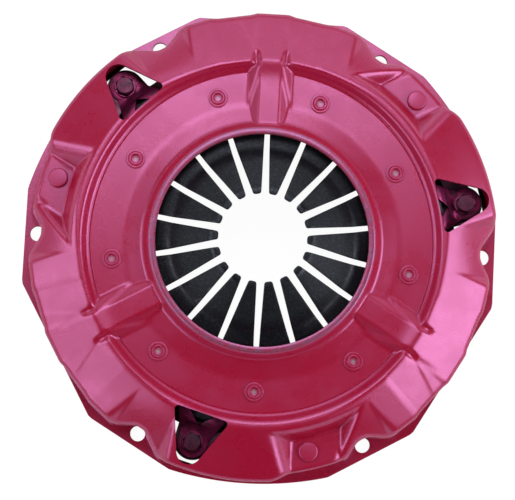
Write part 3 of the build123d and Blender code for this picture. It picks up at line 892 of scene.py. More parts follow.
    def crown(self, along: np.ndarray, side: np.ndarray) -> np.ndarray:
        """Height of the raised head that a rib climbs to, over the crest."""
        climb_rate = (self.crown_z - self.rib_z) / (self.crown_r - self.rib_climb_r)
        climb = smooth_min(self.rib_z + (along - self.rib_climb_r) * climb_rate, self.crown_z, 0.0012)
        return smooth_min(climb, self.crown_z - (side - self.crown_w / 2) * 0.75, 0.0012)

    def groove(self, along: np.ndarray, side: np.ndarray) -> np.ndarray:
        """Depth of the grooves beside a rib's head."""
        off = (side - self.groove_side) / self.groove_half
        run = smooth_step(0.1125, 0.1160, along) * (1.0 - 0.75 * smooth_step(0.1190, 0.1250, along))
        run = run * (1.0 - smooth_step(0.1300, 0.1460, along))
        return self.groove_depth * run * np.exp(-off ** 2)

    def pocket(self, x: np.ndarray, y: np.ndarray, radius: np.ndarray) -> np.ndarray:
        """Height of the strap pad and of the drafted walls round it."""
        along, off, _ = self.local(x, y, self.pad_angle)
        skew = math.radians(self.pad_skew)
        side = (along - self.rivet_r) * math.sin(skew) + off * math.cos(skew)
        inner = (self.pad_inner_r - radius) * self.pad_inner_slope
        window_side = (-side - self.pad_window_side) * self.pad_window_slope
        valley_side = (side - self.pad_valley_side) * self.pad_valley_slope
        wall = smooth_max(smooth_max(window_side, valley_side, 0.0012), inner, 0.0024)
        return self.pad_z + smooth_max(wall, 0.0, 0.0012)

    def facets(self, radius: np.ndarray, away: np.ndarray) -> np.ndarray:
        """Height of the flats beside a rib and of the valleys that clear the screws."""
        size = np.abs(away)
        slope = math.tan(math.radians(self.facet_slope))
        planes = []
        for start, end, wall in self.facet_planes():
            reach = radius * np.cos(np.radians(size - (start + end) / 2))
            planes.append(self.facet_bend_z + (wall - reach) * slope)
        first = smooth_step(self.centre_facet - 0.9, self.centre_facet + 0.7, size)
        second = smooth_step(self.side_facet - 0.2, self.side_facet + 0.5, size)
        z = planes[0] * (1 - first) + (planes[1] * (1 - second) + planes[2] * second) * first
        middle = (self.facets_end + self.valley_end) / 2
        half = (self.valley_end - self.facets_end) / 2
        reach = radius * np.cos(np.radians(size - middle))
        valley = self.facet_bend_z + (self.valley_r - reach) * math.tan(math.radians(self.valley_slope))
        beyond = np.maximum(np.abs(size - middle) - half, 0.0)
        ramp = radius * np.radians(beyond) * 1.15
        return smooth_min(z, valley + ramp, 0.0045)

    def field(self, radius: np.ndarray, angle: np.ndarray, z: np.ndarray) -> np.ndarray:
        """Signed distance to the cover's outer surface, negative inside.

        Args:
            radius: Distances from the axis.
            angle: Angles in the local layout.
            z: Heights.

        Returns:
            Distance outside the surface.
        """
        x, y = radius * np.cos(np.radians(angle)), radius * np.sin(np.radians(angle))
        step = 0.0004
        top = self.height(x, y)
        slope_x = (self.height(x + step, y) - top) / step
        slope_y = (self.height(x, y + step) - top) / step
        steep = np.sqrt(1.0 + slope_x ** 2 + slope_y ** 2)
        return smooth_max((z - top) / np.minimum(steep, 2.2), radius - self.wall_at(angle), self.bend_round)

    def wall_at(self, angle: np.ndarray) -> np.ndarray:
        """Radius of the outer wall at angles in the local layout."""
        return np.interp(from_rib(angle), self.samples, self.wall_table)

    def cast(self, start_r: Values, start_z: Values, lean: Values, angle: Values,
             level: float) -> tuple[np.ndarray, np.ndarray]:
        """Follows rays from inside the form to where the field has a level.

        Args:
            start_r: Radius where each ray starts.
            start_z: Height where each ray starts.
            lean: Angle of each ray above the horizontal.
            angle: Angle of each ray about the axis.
            level: Field value to find.

        Returns:
            Radius and height of each point found.
        """
        start_r, start_z, lean, angle = np.broadcast_arrays(start_r, start_z, lean, angle)
        low, high = np.zeros_like(start_r), np.full_like(start_r, 0.050)
        along, up = np.cos(np.radians(lean)), np.sin(np.radians(lean))
        for _ in range(20):
            middle = (low + high) / 2
            inside = self.field(start_r + along * middle, angle, start_z + up * middle) < level
            low, high = np.where(inside, middle, low), np.where(inside, high, middle)
        return start_r + along * low, start_z + up * low

    def warp(self, radius: Values, angles: np.ndarray) -> np.ndarray:
        """Turns the columns near a rib so that they run beside it instead of towards the axis.

        Args:
            radius: Radii of the points.
            angles: Angles of the columns at a radius of 100 mm.

        Returns:
            Angle of each point.
        """
        away = from_rib(angles)
        share = 1.0 - smooth_step(8.5, 24.0, np.abs(away))
        reach = np.minimum(radius, 0.1180)
        even = np.degrees(np.arcsin(np.clip(0.1 * np.sin(np.radians(away)) / reach, -1.0, 1.0)))
        return angles + (even - away) * share

    def skin(self, inner: np.ndarray, shares: np.ndarray, leans: np.ndarray, angles: np.ndarray,
             depth: float) -> tuple[np.ndarray, np.ndarray, np.ndarray]:
        """Rows of points over the top and round the bend, at one depth below the outer surface.

        Args:
            inner: Radii of the rows that keep to circles.
            shares: Places of the rows between the last circle and the shoulder.
            leans: Angles above the horizontal of the rows round the bend.
            angles: Angles of the columns.
            depth: Distance below the outer surface.

        Returns:
            Radius, height and angle of each point.
        """
        outer = self.warp(self.shoulder_r, angles)
        rim = self.wall_at(outer) - self.shoulder_w - 1.2 * depth
        rows = [np.full_like(rim, r) for r in inner]
        grid_r = np.array(rows + [self.shoulder_r + (rim - self.shoulder_r) * share for share in shares])
        grid_a = self.warp(grid_r, angles)
        top_r, top_z = self.cast(grid_r, 0.0060, 90.0, grid_a, -depth)
        bend_r, bend_z = self.cast(rim - 0.0015, top_z[-1] - 0.0090, leans[:, None], outer, -depth)
        return (np.concatenate([top_r, bend_r]), np.concatenate([top_z, bend_z]),
                np.concatenate([grid_a, np.broadcast_to(outer, bend_r.shape)]))

    def column_angles(self) -> np.ndarray:
        """Angles of the columns, closer together where the shape turns within a sector."""
        spots = np.linspace(0.0, SECTOR_PITCH, 4801)
        fold = np.minimum(spots, SECTOR_PITCH - spots)
        density = np.full(len(spots), 1.0)
        density[fold < 10.0] = 2.4
        density[np.abs(fold - self.side_facet) < 1.0] = 3.0
        density[np.abs(fold - 31.0) < 9.5] = 2.0
        density[np.abs(spots - 68.5) < 2.6] = 2.6
        total = np.concatenate([[0.0], np.cumsum((density[1:] + density[:-1]) / 2)])
        places = total[-1] * np.arange(self.sector_columns) / self.sector_columns
        sector = np.interp(places, total, spots)
        return np.concatenate([sector + SECTOR_PITCH * k for k in range(SECTORS)])

    def shell(self) -> bpy.types.Object:
        """The whole pressing as one closed mesh, without its holes."""
        angles = self.column_angles()
        outer = self.warp(self.shoulder_r, angles)
        lip = self.warp(self.opening_r, angles)
        edge = np.interp(from_rib(outer), self.samples, self.edge_table)
        runs = ((self.opening_r + self.edge_round, 0.0710, 3), (0.0716, 0.0790, 8), (0.0805, 0.1070, 13),
                (0.1083, 0.1092, 3), (0.1094, 0.1106, 8), (0.1112, 0.1212, 16))
        inner = np.concatenate([np.linspace(*run) for run in runs])
        top_r, top_z, top_a = self.skin(inner, np.linspace(0.0, 1.0, 30), np.linspace(76.0, 0.0, 11), angles, 0.0)
        rows = [(self.opening_r, self.lip_z - self.edge_round, lip),
                (self.opening_r + 0.3 * self.edge_round, self.lip_z - 0.3 * self.edge_round, lip)]
        rows += zip(top_r, top_z, top_a)
        trim = self.flange_round
        foot = np.minimum(self.foot_radius, edge - top_r[-1] - trim)
        rows.append((top_r[-1], (top_z[-1] + self.sheet + foot) / 2, outer))
        for turn in np.radians((0.0, 22.5, 45.0, 67.5, 90.0)):
            rows.append((top_r[-1] + foot * (1 - math.cos(turn)), self.sheet + foot * (1 - math.sin(turn)), outer))
        start = rows[-1][0]
        rows += [(start + (edge - trim - start) * share, self.sheet, outer) for share in (0.5, 1.0)]
        rows += [(edge, self.sheet - trim, outer), (edge, trim, outer), (edge - trim, 0.0, outer)]
        under = np.concatenate([np.linspace(self.opening_r + 0.0004, 0.0760, 4), np.linspace(0.0790, 0.1205, 10)])
        in_r, in_z, in_a = self.skin(under, np.linspace(0.0, 1.0, 9), np.array([66.0, 44.0, 22.0, 0.0]), angles,
                                     self.sheet)
        rows += [(in_r[-1] + 0.0025, 0.0, outer), (in_r[-1] + 0.0008, 0.0010, outer), (in_r[-1], 0.0032, outer)]
        rows += list(zip(in_r, in_z, in_a))[::-1]
        rows.append((self.opening_r, self.lip_z - self.sheet + 0.0003, lip))
        points = []
        for radius, z, angle in rows:
            turn = np.radians(angle + RIB_ANGLE)
            points.append(np.stack(np.broadcast_arrays(radius * np.cos(turn), radius * np.sin(turn), z), axis=1))
        return tidy_mesh(mesh_object("cover_pressing", np.concatenate(points),
                                     loop_faces(len(rows), len(angles), True)))

    def cutters(self) -> list[bpy.types.Object]:
        """Tools for the windows and for the screw and rivet holes."""
        corner = self.window_w / 2 - self.window_corner
        inner = self.window_inner_r + self.window_corner
        window = hull_outline([(inner, corner, self.window_corner), (inner, -corner, self.window_corner),
                               (self.window_nose_r - self.window_nose, 0.0, self.window_nose)], 48)
        tools = []
        for k in range(SECTORS):
            turn = RIB_ANGLE + SECTOR_PITCH * k
            tools.append(prism("window_tool", turn_points(window, turn + self.window_angle), 0.0101, 0.0800))
            for angle in (self.hole_angle, -self.hole_angle):
                tools.append(self.round_tool(self.bolt_circle_r, turn + angle, self.bolt_hole_r))
            tools.append(self.round_tool(self.rivet_r, turn + self.pad_angle, self.rivet_hole))
            for step in (20.0, 60.0, 100.0):
                tools.append(self.round_tool(self.pivot_r, turn + step, self.pivot_hole))
        return tools

    @staticmethod
    def round_tool(radius: float, angle: float, hole: float) -> bpy.types.Object:
        """Upright rod that drills one hole."""
        x, y = polar(radius, angle)
        return prism("hole_tool", hull_outline([(x, y, hole)], 40), -0.0100, 0.0800)

    def build(self, paint: bpy.types.Material) -> None:
        """Makes the dressed cover."""
        made = dress(shade(tidy_mesh(cut(self.shell(), self.cutters()), 1e-6), 38.0), paint)
        seat(made, Body.COVER, Slot.COVER_PAINT, "clutch_cover")


@dataclass
class FingerSpring:
    """The diaphragm spring: a coned rim and 18 bent fingers between keyhole slots."""

    fingers: int = 18
    thick: float = 0.0028
    rim_r: float = 0.1200
    pivot_r: float = 0.1021
    pivot_z: float = 0.02942
    cone: float = 12.0
    bend_r: float = 0.0590
    tip_r: float = 0.0279
    curl_r: float = 0.0315
    slope: float = 36.0
    slot_tip: float = 0.0049
    slot_end: float = 0.0024
    hole_r: float = 0.0044
    hole_centre: float = 0.0966
    edge: float = 0.0004
    tip_round: float = 0.0014
    across: int = 9
    lift_keep: float = 0.36
    rim_keep: float = 0.2

    def cone_z(self, radius: float) -> float:
        """Height of the middle of the cone at a radius."""
        return self.pivot_z + (self.pivot_r - radius) * math.tan(math.radians(self.cone))

    def line(self) -> np.ndarray:
        """Middle line of a finger from the pivot to the tip, as radius and height."""
        bend_z = self.cone_z(self.bend_r)
        tip_z = bend_z + (self.bend_r - self.curl_r) * math.tan(math.radians(self.slope))
        corners = [(self.pivot_r, self.pivot_z), (self.bend_r, bend_z), (self.curl_r, tip_z), (self.tip_r, tip_z)]
        return rounded_path(corners, [0.0094, 0.0044], 8)

    def slot_half(self, radius: float) -> float:
        """Half width of the slot at a radius, with its round end."""
        share = (radius - self.tip_r) / (self.hole_centre - self.tip_r)
        straight = (self.slot_tip + (self.slot_end - self.slot_tip) * share) / 2
        reach = radius - self.hole_centre
        hole = math.sqrt(max(self.hole_r ** 2 - reach ** 2, 0.0))
        return max(straight if reach < 0 else 0.0, hole)

    def rows(self) -> list[tuple[float, float, float, float]]:
        """Radius, height and normal of the middle line at each row across a finger."""
        line = self.line()
        radii = [self.pivot_r, self.hole_centre + self.hole_r]
        radii += [self.hole_centre + self.hole_r * math.cos(math.pi * k / 12) for k in range(1, 12)]
        for start, stop, count in ((self.hole_centre - self.hole_r - 0.0004, 0.0630, 12), (0.0615, 0.0560, 8),
                                   (0.0535, 0.0345, 10), (0.0335, self.tip_r + self.tip_round, 5)):
            radii += list(np.linspace(start, stop, count))
        radii += [self.tip_r + self.tip_round * share for share in (0.62, 0.3, 0.1, 0.0)]
        order = np.argsort(line[:, 0])
        heights = np.interp(radii, line[order, 0], line[order, 1])
        rows = []
        for i, (r, z) in enumerate(zip(radii, heights)):
            before, after = max(i - 1, 0), min(i + 1, len(radii) - 1)
            dr, dz = radii[after] - radii[before], heights[after] - heights[before]
            length = math.hypot(dr, dz)
            rows.append((r, float(z), dz / length, -dr / length))
        return rows

    def ring(self, r: float) -> list[Point2]:
        """Outline across a finger at a radius, as sideways and upward distance from the middle line."""
        gap = self.slot_half(r)
        edge = min(self.edge, gap)
        half = r * (math.pi / self.fingers - math.asin(min(gap / r, 1.0)))
        into = self.tip_r + self.tip_round - r
        if into > 0:
            half -= self.tip_round - math.sqrt(max(self.tip_round ** 2 - into ** 2, 0.0))
        near = max(self.tip_r + self.edge - r, 0.0)
        top = self.thick / 2 - self.edge + math.sqrt(max(self.edge ** 2 - near ** 2, 0.0))
        flat = [(-half + edge + (half - edge) * 2 * k / (self.across - 1), top) for k in range(self.across)]
        right = [(half - edge + edge * math.sin(a), top - edge + edge * math.cos(a))
                 for a in (math.radians(30.0), math.radians(60.0), math.radians(90.0))]
        upper = flat + right
        return upper + [(s, -n) for s, n in upper[::-1]] + [(-s, -n) for s, n in right] + [
            (-s, n) for s, n in right[::-1]]

    def finger(self) -> bpy.types.Object:
        """One closed sector with a finger, from the pivot circle to the tip."""
        points, rows = [], self.rows()
        for r, z, nr, nz in rows:
            points += [(*polar(r + n * nr, math.degrees(s / r)), z + n * nz) for s, n in self.ring(r)]
        count = len(points) // len(rows)
        across = self.across
        hole_end = self.hole_centre + self.hole_r - 1e-9
        sides = set(range(across - 1, across + 6)) | set(range(2 * across + 5, count))
        faces = []
        for i in range(len(rows) - 1):
            solid = rows[i + 1][0] >= hole_end
            faces += [(i * count + j, i * count + (j + 1) % count, (i + 1) * count + (j + 1) % count,
                       (i + 1) * count + j) for j in range(count) if not (solid and j in sides)]
        faces.append(tuple(range(len(points) - count, len(points))))
        low = 2 * across + 5
        faces += [(j, low - j, low - j - 1, j + 1) for j in range(across - 1)]
        return mesh_object("spring_fingers", np.array(points), faces)

    def rim(self) -> bpy.types.Object:
        """The coned ring outside the pivot circle."""
        half, lean = self.thick / 2, math.radians(self.cone)
        nr, nz = half * math.sin(lean), half * math.cos(lean)
        ends = ((self.pivot_r, self.pivot_z), (self.rim_r, self.cone_z(self.rim_r)))
        corners = [(r + nr, z + nz) for r, z in ends] + [(r - nr, z - nz) for r, z in ends[::-1]]
        return lathe("spring_rim", rounded_path(corners, [0.0006, 0.0006], 4), 180)

    def build(self, steel: bpy.types.Material) -> None:
        """Makes the dressed spring in two pieces."""
        fingers = ARRAY.repeat(self.finger(), self.fingers, 180.0 / self.fingers, steel, merge=2e-6)
        shade(tidy_mesh(fingers, 2e-6))
        rim = dress(shade(self.rim()), steel)
        for made, keep in ((fingers, self.lift_keep), (rim, self.rim_keep)):
            seat(made, Body.COVER, Slot.SPRING, "diaphragm_spring")
            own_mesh(made)


@dataclass
class PivotRivets:
    """Nine shouldered rivets whose formed heads show in the pan."""

    count: int = 9
    circle_r: float = 0.0966
    first_angle: float = 20.0
    shank_r: float = 0.0036
    foot_r: float = 0.0072
    foot_t: float = 0.0022
    foot_top_z: float = 0.02436
    pan_z: float = 0.0380
    cap_r: float = 0.0062
    cap_t: float = 0.0010
    crown_r: float = 0.0044
    crown_t: float = 0.0009
    dimple_r: float = 0.0029

    def build(self, paint: bpy.types.Material) -> None:
        """Makes the dressed rivets."""
        cap = self.pan_z + self.cap_t
        top, bottom = cap + self.crown_t, cap - self.crown_t
        foot = self.foot_top_z - self.foot_t
        corners = [(0.0, foot), (self.foot_r, foot), (self.foot_r, self.foot_top_z),
                   (self.shank_r, self.foot_top_z), (self.shank_r, self.pan_z), (self.cap_r - 0.0010, self.pan_z),
                   (self.cap_r, self.pan_z + 0.0003), (self.cap_r, cap), (self.crown_r + 0.0004, cap),
                   (self.crown_r + 0.0001, cap - 0.0004), (self.crown_r - 0.0003, top),
                   (self.dimple_r + 0.0002, top), (self.dimple_r - 0.0004, bottom), (0.0, bottom - 0.0001)]
        radii = [0.0005, 0.0005, 0.0002, 0.0, 0.0, 0.0001, 0.0005, 0.0002, 0.0001, 0.0004, 0.0003, 0.0003]
        made = lathe("pivot_rivet_set", rounded_path(corners, radii, 4), 40)
        worn_r, low = self.dimple_r - 0.0007, self.pan_z - 0.0005
        bare = made.data.attributes.new("bare", "FLOAT", "POINT")
        bare.data.foreach_set("value", [float(math.hypot(v.co.x, v.co.y) < worn_r and v.co.z > low)
                                        for v in made.data.vertices])
        shade(ARRAY.repeat(made, self.count, self.first_angle, paint, self.circle_r))
        seat(made, Body.COVER, Slot.RIVET, "pivot_rivets")


@dataclass
class StrapJoint:
    """What hangs the plate: strap leaves, pad rivets, hex bolts, washers and retracting clips."""

    bolt_r: float = 0.1356
    bolt_angle: float = 44.0
    rivet_r: float = 0.1376
    rivet_angle: float = 75.5
    lug_z: float = 0.0191
    pad_strap_z: float = 0.0232
    leaf_t: float = 0.0008
    strap_w: float = 0.0150
    strap_flat: float = 0.0155
    strap_bend: float = 0.0300
    head_r: float = 0.0063
    head_t: float = 0.0024
    rivet_shank_r: float = 0.0040
    pad_z: float = 0.0291
    shank_r: float = 0.0035
    across_flats: float = 0.0111
    bolt_head: float = 0.0046
    bolt_bottom: float = 0.0111
    head_z: float = 0.0246
    washer_r: float = 0.0072
    washer_z: float = 0.0231
    washer_t: float = 0.0015
    clip_z: float = 0.0215
    clip_t: float = 0.0016
    clip_nose: float = 0.0102
    clip_toe_r: float = 0.1152
    clip_toe_w: float = 0.0335
    clip_notch: float = 0.0115
    clip_notch_angle: float = 47.0
    clip_flat: float = 0.0086
    clip_climb_r: float = 0.1195
    clip_toe_z: float = 0.02838

    def ends(self, sector: int) -> tuple[Point2, Point2]:
        """Plan places of a strap's bolt and rivet."""
        turn = RIB_ANGLE + SECTOR_PITCH * sector
        return polar(self.bolt_r, turn + self.bolt_angle), polar(self.rivet_r, turn + self.rivet_angle)

    def leaf(self, name: str, level: int, sector: int) -> bpy.types.Object:
        """One strap leaf between a lug and a pad, in the frame's layout."""
        (x0, y0), (x1, y1) = self.ends(sector)
        span = math.hypot(x1 - x0, y1 - y0)
        ux, uy = (x1 - x0) / span, (y1 - y0) / span
        low, high = self.lug_z + level * self.leaf_t, self.pad_strap_z + level * self.leaf_t
        half, edge, thick = self.strap_w / 2, 0.00015, self.leaf_t
        path = rounded_path([(-half - 0.001, low), (self.strap_flat, low), (span - self.strap_flat, high),
                             (span + half + 0.001, high)], [self.strap_bend] * 2, 10)
        stations = [-half * math.cos(math.pi / 2 * k / 8) for k in range(8)] + list(np.linspace(0.0, span, 40))
        stations += [span + half * math.sin(math.pi / 2 * (k + 1) / 8) for k in range(8)]
        rings = []
        for s in stations:
            over = max(-s, s - span, 0.0)
            width = max(math.sqrt(max(half ** 2 - over ** 2, 0.0)), 0.0002)
            z = float(np.interp(s, path[:, 0], path[:, 1]))
            lower = [(-width, edge), (-width + edge, 0.0), (0.0, 0.0), (width - edge, 0.0), (width, edge)]
            ring = lower + [(w, thick - h) for w, h in lower[::-1]]
            rings.append([(x0 + ux * s - uy * w, y0 + uy * s + ux * w, z + h) for w, h in ring])
        tools = [prism("tool", hull_outline([(x, y, r)], 28), 0.0, 0.060)
                 for x, y, r in ((x0, y0, self.shank_r + 0.0002), (x1, y1, self.rivet_shank_r + 0.00005))]
        return cut(capped(name, rings, 1e-6), tools)

    def straps(self, steel: bpy.types.Material) -> None:
        """Makes the nine leaves, each shaped with a bend from the plate's lug up to the cover's pad."""
        for level, label in enumerate(("lower", "middle", "upper")):
            for sector in range(SECTORS):
                made = dress(shade(self.leaf(f"strap_leaf_{label}_{sector + 1}", level, sector)), steel)
                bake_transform(made)
                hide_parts(f"drive_strap_{label}_{sector + 1}")
                LOG.info("%s: %d faces", made.name, len(made.data.polygons))

    def rivets(self, paint: bpy.types.Material) -> None:
        """Makes the three pad rivets."""
        low, high = self.pad_strap_z - self.head_t, self.pad_z + self.head_t
        corners = [(0.0, low), (self.head_r, low), (self.head_r, self.pad_strap_z),
                   (self.rivet_shank_r, self.pad_strap_z), (self.rivet_shank_r, self.pad_z),
                   (self.head_r, self.pad_z), (self.head_r, high), (0.0, high)]
        section = rounded_path(corners, [0.0014, 0.0002, 0.0, 0.0, 0.0002, 0.0015], 6)
        made = lathe("strap_rivet_set", section, 48)
        made.data.attributes.new("bare", "FLOAT", "POINT")
        shade(ARRAY.repeat(made, SECTORS, self.rivet_angle, paint, self.rivet_r))
        seat(made, Body.COVER, Slot.RIVET, *numbered("strap_rivet"))

    def bolt(self) -> bpy.types.Object:
        """Hex head with a turned top, on a plain shank."""
        corner, flat, high = self.across_flats / math.sqrt(3), self.across_flats / 2, self.bolt_head
        ends = [polar(corner, 60.0 * k + 30.0) for k in range(7)]
        outline = [(ax + (bx - ax) * k / 8, ay + (by - ay) * k / 8)
                   for (ax, ay), (bx, by) in zip(ends, ends[1:]) for k in range(8)]
        rings = [[(x * scale, y * scale, z) for x, y in outline]
                 for scale, z in ((0.4, 0.0), (0.97, 0.0), (1.0, 0.0002), (1.0, high - 0.0010))]
        for shrink, z in ((1.0, high - 0.0006), (0.97, high - 0.0003), (0.93, high - 0.0001), (0.9, high),
                          (0.5, high + 0.00005)):
            limit = flat * shrink + (corner - flat) * max(shrink - 0.93, 0.0) * 6
            fits = [min(1.0, limit / math.hypot(x, y)) for x, y in outline]
            rings.append([(x * fit, y * fit, z) for (x, y), fit in zip(outline, fits)])
        head = capped("head", rings)
        head.data.transform(Matrix.Translation((0.0, 0.0, self.head_z)))
        neck = self.head_z + 0.0005
        shank = lathe("shank", rounded_path([(0.0, self.bolt_bottom), (self.shank_r, self.bolt_bottom),
                                             (self.shank_r, neck), (0.0, neck)], [0.0005, 0.0], 3), 32)
        return joined("strap_bolt_set", [head, shank])

    def bolts(self, steel: bpy.types.Material, paint: bpy.types.Material) -> None:
        """Makes the three hex bolts, painted on the top that faced the spray gun."""
        made = shade(ARRAY.repeat(self.bolt(), SECTORS, self.bolt_angle, steel, self.bolt_r, FINE_GAP), 24.0)
        made.data.materials.append(paint)
        for face in made.data.polygons:
            if face.normal.z > 0.5 and face.center.z > self.head_z + 0.0020:
                face.material_index = 1
        seat(made, Body.PLATE, Slot.BOLT, *numbered("strap_bolt"))

    def washers(self, steel: bpy.types.Material) -> None:
        """Makes the three split washers."""
        inner, outer, thick, edge = self.shank_r + 0.0002, self.washer_r, self.washer_t, 0.0003
        section = [(inner, edge), (inner + edge, 0.0), (outer - edge, 0.0), (outer, edge), (outer, thick - edge),
                   (outer - edge, thick), (inner + edge, thick), (inner, thick - edge)]
        made = capped("lock_washer_set", [[(*polar(r, a), self.washer_z + z) for r, z in section]
                                          for a in np.linspace(4.0, 352.0, 60)])
        made.data.transform(Matrix.Rotation(math.radians(70.0), 4, "Z"))
        shade(ARRAY.repeat(made, SECTORS, self.bolt_angle, steel, self.bolt_r))
        seat(made, Body.PLATE, Slot.WASHER, *numbered("lock_washer"))

    def clips(self, steel: bpy.types.Material) -> None:
        """Makes the three notched clips."""
        notch = self.bolt_r - self.clip_notch
        wide = (notch - self.clip_toe_r) * math.tan(math.radians(self.clip_notch_angle))
        nose = [(self.bolt_r + self.clip_nose * math.sin(a), self.clip_nose * math.cos(a))
                for a in np.radians(np.linspace(-20.0, 90.0, 9))]
        side = [(self.clip_toe_r, self.clip_toe_w / 2)] + nose
        outline = np.array(side + [(x, -y) for x, y in side[::-1][1:]] +
                           [(self.clip_toe_r, -wide), (notch, 0.0), (self.clip_toe_r, wide)])
        made = self.bent_plate("retracting_clip_set", outline)
        shade(ARRAY.repeat(made, SECTORS, self.bolt_angle, steel, merge=FINE_GAP))
        seat(made, Body.PLATE, Slot.CLIP, *numbered("retracting_clip"))

    def bent_plate(self, name: str, outline: np.ndarray) -> bpy.types.Object:
        """Clip blank with the bolt hole, cut into strips and bent to the climb of its legs."""
        blank = prism(name, outline, 0.0, self.clip_t)
        hole = prism("tool", hull_outline([(self.bolt_r, 0.0, self.shank_r + 0.0002)], 28), -0.01, 0.01)
        cut(blank, [hole])
        shape = bmesh.new()
        shape.from_mesh(blank.data)
        flat_end = self.bolt_r - self.clip_flat
        for x in np.linspace(self.clip_toe_r + 0.0006, self.bolt_r + 0.004, 26):
            every = list(shape.verts) + list(shape.edges) + list(shape.faces)
            bmesh.ops.bisect_plane(shape, geom=every, plane_co=(x, 0.0, 0.0), plane_no=(1.0, 0.0, 0.0))
        rims = [e for e in shape.edges if len(e.link_faces) == 2 and e.calc_face_angle(0.0) > 1.0]
        bmesh.ops.bevel(shape, geom=rims, offset=0.0003, segments=2, affect="EDGES", profile=0.5)
        path = rounded_path([(self.clip_toe_r - 0.005, self.clip_toe_z), (self.clip_climb_r, self.clip_toe_z),
                             (flat_end, self.clip_z), (self.bolt_r + 0.02, self.clip_z)], [0.006, 0.006], 8)
        for v in shape.verts:
            v.co.z += float(np.interp(v.co.x, path[:, 0], path[:, 1]))
        shape.to_mesh(blank.data)
        shape.free()
        return blank


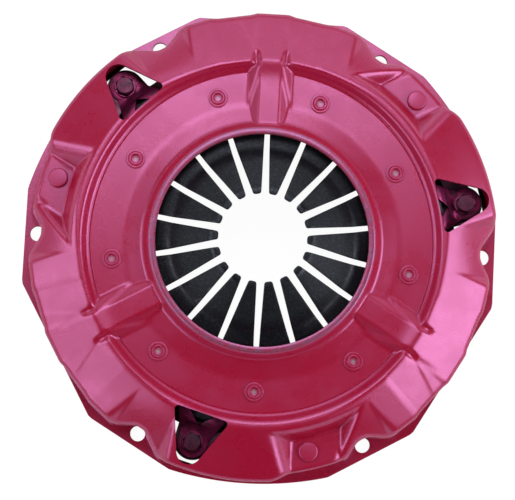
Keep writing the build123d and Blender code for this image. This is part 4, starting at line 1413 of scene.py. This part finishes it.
@dataclass
class Studio:
    """Pale floor, soft lights and the camera at the photograph's angle."""

    camera_place: Point3 = (-0.02758, -0.09215, 1.00000)
    camera_turn: Point3 = (5.1176, -1.4771, -0.0002)
    focal_pixels: float = 1509.93
    frame_width: float = 515.0
    sensor: float = 36.0
    floor_half: float = 3.0
    floor_z: float = -0.0002
    glow_share: float = 0.85
    glow_strength: float = 1.12

    def build(self) -> None:
        """Makes the whole studio."""
        self.camera()
        self.floor()
        self.world()
        self.lights()
        bpy.context.scene.view_settings.view_transform = "Standard"

    def camera(self) -> None:
        """Makes the camera."""
        data = bpy.data.cameras.new("camera")
        data.sensor_width = self.sensor
        data.lens = self.focal_pixels * self.sensor / self.frame_width
        data.clip_start, data.clip_end = 0.01, 50.0
        made = linked("camera", data)
        made.location = self.camera_place
        made.rotation_euler = Euler([math.radians(a) for a in self.camera_turn], "XYZ")
        bpy.context.scene.camera = made

    def floor(self) -> None:
        """Makes the pale floor, which looks white to the camera and keeps the object's shadow."""
        half = self.floor_half
        corners = [(x, y, self.floor_z) for x, y in ((-half, -half), (half, -half), (half, half), (-half, half))]
        made = mesh_object("floor", np.array(corners), [(0, 1, 2, 3)])
        material, graph, shader = start_material("floor")
        shader.inputs["Base Color"].default_value = (0.8, 0.8, 0.8, 1.0)
        shader.inputs["Roughness"].default_value = 0.9
        glow = graph.add("ShaderNodeEmission", {"Color": (1.0, 1.0, 1.0, 1.0), "Strength": self.glow_strength})
        camera_ray = graph.add("ShaderNodeLightPath").outputs["Is Camera Ray"]
        share = graph.math("MULTIPLY", camera_ray, self.glow_share)
        mixed = graph.add("ShaderNodeMixShader", {0: share, 1: shader.outputs[0], 2: glow.outputs[0]})
        output = material.node_tree.nodes["Material Output"]
        graph.link(mixed.outputs[0], output.inputs["Surface"])
        made.data.materials.append(material)

    def world(self) -> None:
        """Makes a tent that is bright near the horizon and dim overhead."""
        world = bpy.data.worlds.new("studio")
        world.use_nodes = True
        bpy.context.scene.world = world
        graph = Graph(world.node_tree)
        background = world.node_tree.nodes["Background"]
        way = graph.add("ShaderNodeSeparateXYZ", {0: graph.add("ShaderNodeTexCoord").outputs["Generated"]})
        low = graph.remap(way.outputs["Z"], 0.05, 0.7, 0.55, 0.02)
        side = graph.remap(way.outputs["Y"], -0.8, 0.8, 0.3, 1.1)
        edge = graph.remap(way.outputs["Z"], 0.04, 0.3, 1.1, 0.0)
        tent = graph.math("ADD", graph.math("MULTIPLY", low, side), edge)
        paths = graph.add("ShaderNodeLightPath").outputs
        seen = graph.math("ADD", paths["Is Camera Ray"], paths["Is Transmission Ray"], clamp=True)
        strength = graph.add("ShaderNodeMix", {0: seen, 2: tent, 3: 1.0}).outputs[0]
        background.inputs["Color"].default_value = (1.0, 1.0, 1.0, 1.0)
        graph.link(strength, background.inputs["Strength"])

    def lights(self) -> None:
        """Makes the soft lamps."""
        self.panel("key", (-0.06, 0.60, 1.48), (0.84, 0.64), 7.0)
        self.panel("back", (0.05, 1.25, 1.05), (1.6, 0.5), 3.6)
        self.panel("left", (-0.92, 0.02, 0.90), (0.6, 0.6), 3.4)
        self.panel("low_left", (-0.82, -0.58, 0.76), (0.45, 0.45), 2.0)
        self.panel("right", (0.98, -0.24, 0.84), (1.0, 0.6), 9.0)

    @staticmethod
    def panel(name: str, place: Point3, size: Point2, power: float) -> None:
        """Makes an area lamp that looks at the object."""
        data = bpy.data.lights.new(name, "AREA")
        data.shape = "RECTANGLE"
        data.size, data.size_y = size
        data.energy = power
        made = linked(name, data)
        made.location = place
        made.rotation_euler = (-Vector(place)).to_track_quat("-Z", "Y").to_euler()
        made.visible_camera = False


def dress_nodes(iron: bpy.types.Material, wire: bpy.types.Material) -> None:
    """Gives the carried-over nodes their finishes."""
    for name, material in (("pressure_plate", iron), ("upper_pivot_ring", wire), ("lower_pivot_ring", wire)):
        dress(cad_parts[name], material)
        LOG.info("%s dressed", name)


def main() -> None:
    """Builds every piece in order."""
    logging.basicConfig(level=logging.INFO, format="%(name)s %(message)s")
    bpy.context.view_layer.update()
    paint = MetallicPaint().build()
    rivet_paint = RivetPaint().build()
    spring_steel = DarkSteel("spring_steel").build()
    strap_steel = DarkSteel("strap_steel", spray=0.3).build()
    bolt_steel = DarkSteel("bolt_steel", spray=0.25).build()
    clip_steel = DarkSteel("clip_steel", spray=0.85).build()
    wire = DarkSteel("wire_steel", color=(0.2, 0.2, 0.21), light=(0.4, 0.4, 0.42), metallic=1.0).build()
    iron = CastIron().build()
    PressedCover().build(paint)
    FingerSpring().build(spring_steel)
    PivotRivets().build(rivet_paint)
    joint = StrapJoint()
    joint.straps(strap_steel)
    joint.rivets(rivet_paint)
    joint.bolts(bolt_steel, rivet_paint)
    joint.washers(clip_steel)
    joint.clips(clip_steel)
    dress_nodes(iron, wire)
    Studio().build()


if __name__ == "__main__":
    main()
